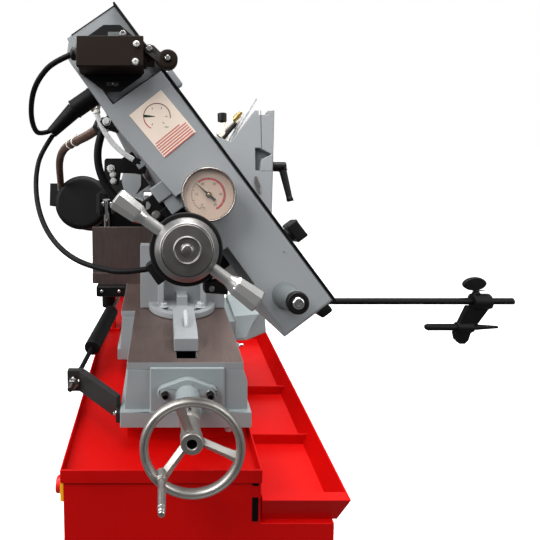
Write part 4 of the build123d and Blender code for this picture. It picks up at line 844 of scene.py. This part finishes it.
# adjusting block of the tension unit, with its shaded lug and two bolts
make("tension_side_block", join(rbox(-8.8, 9.8, -152, -60, -55.0, -31.0, 1.6, 3), rbox(9.0, 28.0, -150, -60, -51.0, -31.0, 1.6, 3)), "bow", GREY, BOW)
make("tension_side_lug", rbox(-17, 17.4, -160, -120, -38.6, -30.4, 3.6, 4), "bow", DGREY, BOW)
make("tension_side_bolt_1", hex_bolt(9.0, 5.0, 12.0), "bow", CHROME, BOW @ face_to((4.1, -128, -66.0), (-0.2, -1, -0.25)))
make("tension_side_bolt_2", hex_bolt(6.5, 4.5, 9.0), "bow", STEEL, BOW @ face_to((17.0, -139.5, -65.0), (0, -1, 0)))
make("tension_side_carrier", rbox(-4, 26, -134, -112, -74, -50, 2.0), "bow", BLACKP, BOW)
# cable bracket under the beam
make("cable_bracket", prism([(-168.8, 1014.0), (-141.0, 1014.0), (-138.4, 1037.0), (-92.0, 1035.0), (-84.0, 1066.0), (-90.0, 1072.0), (-112.0, 1080.0), (-136.0, 1063.8), (-166.0, 1063.8), (-168.8, 1060.0)], 254.0, 268.0, 1.4), "bow", BLACKP,
     LIFT @ Matrix(((1, 0, 0, 0), (0, 0, -1, 0), (0, 1, 0, 0), (0, 0, 0, 1))))
make("cable_bracket_bolt", hex_bolt(9.0, 5.0, 15.0), "bow", ZINC, LIFT @ face_to((-156.0, -268.2, 1044.0), (0, -1, 0)))
make("cable_bracket_nut", hex_bolt(8.0, 4.0, 12.0), "bow", ZINC, LIFT @ face_to((-152.0, -268.2, 1032.5), (0, -1, 0)))
make("cable_bracket_low_bolt", hex_bolt(8.0, 4.0, 12.0), "bow", ZINC, LIFT @ face_to((-151.0, -268.2, 1020.5), (0, -1, 0)))
make("hose_clip", rbox(-150.0, -135.6, 52.0, 68.0, -52.0, -30.0, 1.6, 3), "bow", BLACKP, BOW)
make("hose_clip_bolt", hex_bolt(9.0, 5.0, 13.0), "bow", ZINC, BOW @ face_to((-142.6, 52.2, -43.7), (0, -1, 0)))
make("beam_web", prism([(-126.9, -84.5), (-105.4, -94.1), (-66.2, -91.0), (-83.5, -53.3), (-106.7, -36.6), (-141.4, -68.5)], -609.0, -606.5, 0.6), "bow", GREY, BOW @ FLAT)
# boot collar on the box, hose fittings
make("boot_collar", lathe(rounded([(9.0, 31.0), (13.6, 31.0), (13.6, 40.4), (12.9, 41.3), (9.0, 41.4)], 0.6), 40, True), "bow", DGREY, BOW @ face_to((-153, -60, 0), (0, 0, -1)))
make("boot_ribs", join(*[lathe(rounded([(12.0, z), (13.0, z), (13.0, z + 1.6), (12.0, z + 1.6)], 0.3), 40, True) for z in (42.4, 69.6)]), "bow", RUBBER, BOW @ face_to((-153, -60, 0), (0, 0, -1)))
FIT1, FIT2 = Vector((-163.1, -312.7, 1248.7)) - Vector((-159.3, -312.1, 1261.0)), Vector((-178.6, -234.0, 1253.9)) - Vector((-164.3, -259.1, 1262.0))
make("hose_nut_black", nut(22.0, 9.0, 7.2), "bow", CHROME, face_to(Vector((-159.3, -312.1, 1261.0)) + FIT1.normalized() * 1.5, FIT1))
make("hose_nut_conduit", nut(27.0, 12.0, 9.6), "bow", PLASTIC, face_to(Vector((-164.3, -259.1, 1262.0)) + FIT2.normalized() * 16.0, FIT2))
CL0 = Vector((-159.5, -423.8, 1282.7))
CLD = (Vector((-156.9, -426.1, 1270.8)) - CL0).normalized()
make("clear_hose_fitting", join(nut(13.0, 6.0, 4.1), lathe(rounded([(4.05, 5), (5.6, 5), (5.6, 12), (4.6, 13), (4.05, 13)], 0.4), 28, True)), "bow", TIE, face_to(CL0 - CLD * 4.0, CLD))
CE = Vector((-94.4, -439.7, 1200.6))
CED = (CE - Vector((-104.2, -438.5, 1206.9))).normalized()
make("clear_hose_ferrule", lathe(rounded([(4.05, -9), (5.2, -9), (5.4, -6), (5.4, 2.6), (4.6, 3.4), (0.01, 3.5)], 0.4), 28), "bow", PLASTIC, face_to(CE, CED))

# ------------------------------------------------------------------ guide arm: seam, painted shade in the pocket, steel guide, tap
GF = LIFT @ Matrix(((1, 0, 0, 0), (0, 0, -1, 0), (0, 1, 0, 0), (0, 0, 0, 1)))          # x right, y up, z toward the operator
# Painted shade: a dark grey plate on the pocket floor stands in for the shade inside the pocket.
make("guide_pocket_painted_shade", prism([(131.3, 1095.7), (139.8, 1095.7), (164.2, 1083.0), (142.7, 1072.2), (140.2, 1049.3), (131.3, 1049.3)], 172.4, 173.4), "guide_arm", DGREY, GF)
make("guide_seam", rbox(143.6, 144.8, 1096.0, 1174.0, 185.9, 186.12, 0.0), "guide_arm", DEEP, GF)
make("guide_step", rbox(141.0, 165.0, 1048.0, 1049.2, 185.9, 186.15, 0.0), "guide_arm", DGREY, GF)
make("guide_steel", prism([(128.5, 1038.0), (134.0, 1038.0), (141.0, 1020.0), (141.0, 1003.0), (136.0, 1003.0), (128.5, 1022.0)], 185.8, 189.0, 0.8), "guide_arm", STEEL, GF)
make("tap_body", pipe([(56, 1126, 170), (60, 1129.6, 170), (90, 1156, 170), (93, 1158.6, 170)], [6.5, 8.2, 8.2, 6.5], 28), "guide_arm", CREAM, GF)
make("tap_brass", join(pipe([(88, 1153.5, 172), (101, 1168, 172)], 6.4, 24), pipe([(100, 1167, 172), (106, 1173.4, 172)], 4.4, 24)), "guide_arm", BRASS, GF)
make("tap_tube", pipe([(79, 1108, 168), (86, 1120, 168), (98, 1140, 168), (120, 1176, 168), (137, 1204, 168)], 4.0, 20), "guide_arm", CLEAR, GF)
make("tap_clip", pipe([(65, 1114.6, 178), (68, 1118, 178), (90, 1145, 178), (94, 1150, 178)], [2.6, 3.6, 4.4, 3.4], 16), "guide_arm", PLASTIC, GF)
make("tap_hook", pipe([(54, 1124, 178), (62, 1118, 179), (70, 1112, 180), (77, 1107.4, 180), (79, 1102, 180), (74.5, 1096, 180)], 1.3, 12), "guide_arm", PLASTIC, GF)

# ------------------------------------------------------------------ vise details
for k, x in enumerate((-54.5, 21.5)):
    make("flange_washer_%d" % k, lathe(rounded([(3.0, 0), (7.4, 0), (7.4, 1.4), (3.0, 1.4)], 0.4), 36, True), "base", STEEL, face_to((x, -378.0, 806.0), (0, -1, 0)))
    make("flange_bolt_%d" % k, socket_screw(11.0, 8.0, 5.6), "base", BLACKP, face_to((x, -379.2, 806.0), (0, -1, 0)))
make("jaw_lock_lever", pipe([(-15, -286, 885.0), (-15, -286, 888.5), (-15, -280, 895.0), (-15, -266, 899.0), (-15, -250, 900.5), (-15, -243, 899.0), (-15, -241, 897.5)], [3.4, 3.6, 4.4, 4.8, 4.8, 3.6, 1.4], 20), "jaw_slide", LGREY)
make("jaw_swivel_bolt", hex_bolt(16.0, 8.0, 24.0), "movable_jaw", LGREY, face_to((-16.5 + 40.0, -128.0, 866.9), (0, 0, 1)))
make("jaw_swivel_bolt_2", hex_bolt(13.0, 7.0, 20.0), "movable_jaw", LGREY, face_to((-16.5 - 40.0, -128.0, 866.9), (0, 0, 1)))
make("table_side_bolt", hex_bolt(10.0, 6.0, 15.0), "base", CHROME, face_to((83.4, -238, 828.0), (1, 0, 0.1)))
make("table_side_stud", lathe(rounded([(0.01, 0), (3.4, 0), (3.4, 16), (2.6, 17), (0.01, 17)], 0.5), 20), "base", CHROME, face_to((82.4, -238, 828.0), (1, 0, 0.1)))
make("base_under_bolt", hex_bolt(13.0, 14.0, None), "base", LGREY, face_to((56.0, -352.0, 741.0), (0, 0, -1)))
make("anchor_bolt", hex_bolt(8.0, 4.0, 12.0), "base", CHROME, face_to((-139.2, -352.0, 757.0), (-1, 0, 0)))
# Painted shade: a deep black plate on the slide's front end stands in for its shaded face seen through the slot.
make("slide_end_painted_shade", rbox(-33.6, 0.6, -296.8, -296.1, 813.0, 855.0, 0.1, 1), "jaw_slide", DEEP)
# Painted shade: deep black walls and floor in the table's slot stand in for the shade inside it.
make("slot_painted_shade", join(rbox(-34.3, 1.3, -343.6, -298, 766.2, 767.0, 0.0), rbox(-34.45, -34.2, -343.6, -323, 767, 852, 0.0), rbox(1.2, 1.45, -343.6, -323, 767, 852, 0.0), rbox(-34.3, 1.3, -343.9, -343.4, 767, 852, 0.0)), "base", DEEP)
make("jaw_bar_cover", rbox(-228.0, -154.0, 56.6, 87.0, 824.4, 851.0, 3.0, 3), "base", PLASTIC)
for k, x in enumerate((-214.0, -170.0)):
    make("jaw_bar_screw_%d" % k, socket_screw(9.5, 4.0, 4.6, 1), "base", CHROME, face_to((x, 56.8, 839.0), (0, -1, 0)))
make("tray_front_return", rbox(99.6, 233.8, -446.4, -430.4, 670.0, 671.9, 0.5, 2), "base", RED)
make("tray_gap", join(rbox(82.4, 92.0, -445.6, -444.6, 634.0, 674.0, 0.0), rbox(82.6, 92.0, -445.8, -444.6, 693.6, 699.6, 0.0)), "base", DEEP)

# ------------------------------------------------------------------ counterbalance spring: sleeve, threaded rod, nut
SA_, SQ_ = Vector((-228, -255, 768)), Vector((-152, 315.33, 814.33))
SD_ = (SQ_ - SA_).normalized()
SPF = face_to(SA_, SD_)
make("spring_tube", lathe(rounded([(14.5, 124), (14.5, 298), (16.2, 298), (17.0, 296.8), (17.0, 120.6), (15.8, 118.2), (12.0, 118.0), (4.9, 118.0), (4.9, 124)], 0.8), 56, True), "spring_sleeve", BLACKP, SPF, node="spring_sleeve")
make("spring_rod", lathe(rounded([(0.01, -14), (4.9, -14), (4.9, 119.6), (0.01, 119.8)], 0.3), 32), "spring_sleeve", BLACKP, SPF)
thread = []
for k in range(0, 22):
    thread += [(4.3, -34 + 1.5 * k), (5.0, -34 + 1.5 * k + 0.5), (5.0, -34 + 1.5 * k + 0.8), (4.3, -34 + 1.5 * k + 1.3)]
make("spring_thread", lathe([(0.01, -34.4)] + thread + [(0.01, -1.0)], 32), "spring_sleeve", DARKST, SPF, angle=20)
make("spring_nut", nut(17.0, 8.0, 4.9), "spring_sleeve", STEEL, SPF @ Matrix.Translation((0, 0, -18.6)))
make("spring_washer", lathe(rounded([(4.9, 0), (10.2, 0), (10.2, 1.4), (4.9, 1.4)], 0.3), 40, True), "spring_sleeve", STEEL, SPF @ Matrix.Translation((0, 0, -11.2)))
make("stop_knob_screw", lathe(rounded([(4.02, 843.8), (6.6, 843.8), (6.6, 847.6), (4.6, 848.6), (4.6, 850.6), (4.02, 850.8)], 0.3), 28, True), "stop_knob", CHROME, Matrix.Translation((728, 40, 0)))

# ------------------------------------------------------------------ floor and light
fl_me = bpy.data.meshes.new("floor")
fb_ = bmesh.new()
bmesh.ops.create_grid(fb_, x_segments=2, y_segments=2, size=30.0)
fb_.to_mesh(fl_me)
fb_.free()
floor = bpy.data.objects.new("floor", fl_me)
scene.collection.objects.link(floor)
fm = Mat("floor_pale")
fm.to("Base Color", fm.ramp(fm.noise(0.8, 3.0), [(0.3, (0.86, 0.86, 0.86)), (0.7, (0.88, 0.88, 0.88))]))
fm.to("Roughness", fm.remap(fm.noise(3.0, 2.0), 0.75, 0.85))
fm.set(Specular_IOR_Level=0.1, Emission_Color=(1, 1, 1, 1), Emission_Strength=0.55)
fl_me.materials.append(fm.m)
floor.visible_diffuse = False
floor.visible_glossy = False

world = bpy.data.worlds.new("studio")
scene.world = world
world.use_nodes = True
wn = world.node_tree
wn.nodes.clear()
out = wn.nodes.new("ShaderNodeOutputWorld")
bg_cam, bg_env, mixs = wn.nodes.new("ShaderNodeBackground"), wn.nodes.new("ShaderNodeBackground"), wn.nodes.new("ShaderNodeMixShader")
lp = wn.nodes.new("ShaderNodeLightPath")
tcw = wn.nodes.new("ShaderNodeTexCoord")
sep = wn.nodes.new("ShaderNodeSeparateXYZ")
rampw = wn.nodes.new("ShaderNodeValToRGB")
el = rampw.color_ramp.elements
el[0].position, el[0].color = 0.0, (0.30, 0.30, 0.31, 1)
el[1].position, el[1].color = 1.0, (1.0, 1.0, 1.0, 1)
for p_, c_ in ((0.46, 0.30), (0.56, 0.42), (0.72, 0.85)):
    e_ = el.new(p_)
    e_.color = (c_, c_, c_ * 1.01, 1)
mr = wn.nodes.new("ShaderNodeMapRange")
mr.inputs["From Min"].default_value, mr.inputs["From Max"].default_value = -1.0, 1.0
# the operator's side of the room is darker
my = wn.nodes.new("ShaderNodeMapRange")
my.inputs["From Min"].default_value, my.inputs["From Max"].default_value = -0.95, -0.25
my.inputs["To Min"].default_value, my.inputs["To Max"].default_value = 0.42, 1.0
mul = wn.nodes.new("ShaderNodeMath")
mul.operation = "MULTIPLY"
mul.inputs[1].default_value = 0.75
wn.links.new(tcw.outputs["Generated"], sep.inputs["Vector"])
wn.links.new(sep.outputs["Z"], mr.inputs["Value"])
wn.links.new(sep.outputs["Y"], my.inputs["Value"])
wn.links.new(mr.outputs["Result"], rampw.inputs["Fac"])
wn.links.new(rampw.outputs["Color"], bg_env.inputs["Color"])
wn.links.new(my.outputs["Result"], mul.inputs[0])
wn.links.new(mul.outputs["Value"], bg_env.inputs["Strength"])
bg_cam.inputs["Color"].default_value = (1, 1, 1, 1)
bg_cam.inputs["Strength"].default_value = 1.0
wn.links.new(lp.outputs["Is Camera Ray"], mixs.inputs["Fac"])
wn.links.new(bg_env.outputs["Background"], mixs.inputs[1])
wn.links.new(bg_cam.outputs["Background"], mixs.inputs[2])
wn.links.new(mixs.outputs["Shader"], out.inputs["Surface"])


def softbox(name, loc, target, sx, sy, power):
    d = bpy.data.lights.new(name, "AREA")
    d.shape = "RECTANGLE"
    d.size, d.size_y = sx, sy
    d.energy = power
    o = bpy.data.objects.new(name, d)
    scene.collection.objects.link(o)
    o.location = loc
    o.rotation_euler = (Vector(target) - Vector(loc)).to_track_quat("-Z", "Y").to_euler()
    return o


softbox("key", (-1.7, -2.0, 3.1), (0.0, -0.4, 1.0), 1.3, 1.3, 66.0)
softbox("fill", (2.5, -2.0, 2.2), (0.0, -0.3, 0.9), 1.0, 1.8, 31.0)
softbox("top", (0.1, -0.3, 3.7), (0.0, -0.2, 0.8), 2.2, 2.2, 132.0)
softbox("left", (-3.0, -0.9, 2.0), (0.0, -0.3, 0.9), 1.4, 1.6, 52.0)
back = softbox("back", (0.8, 2.8, 2.6), (0.0, 0.2, 0.9), 2.0, 1.4, 45.0)
back.visible_glossy = False

scene.view_settings.view_transform = "Standard"
scene.view_settings.look = "None"
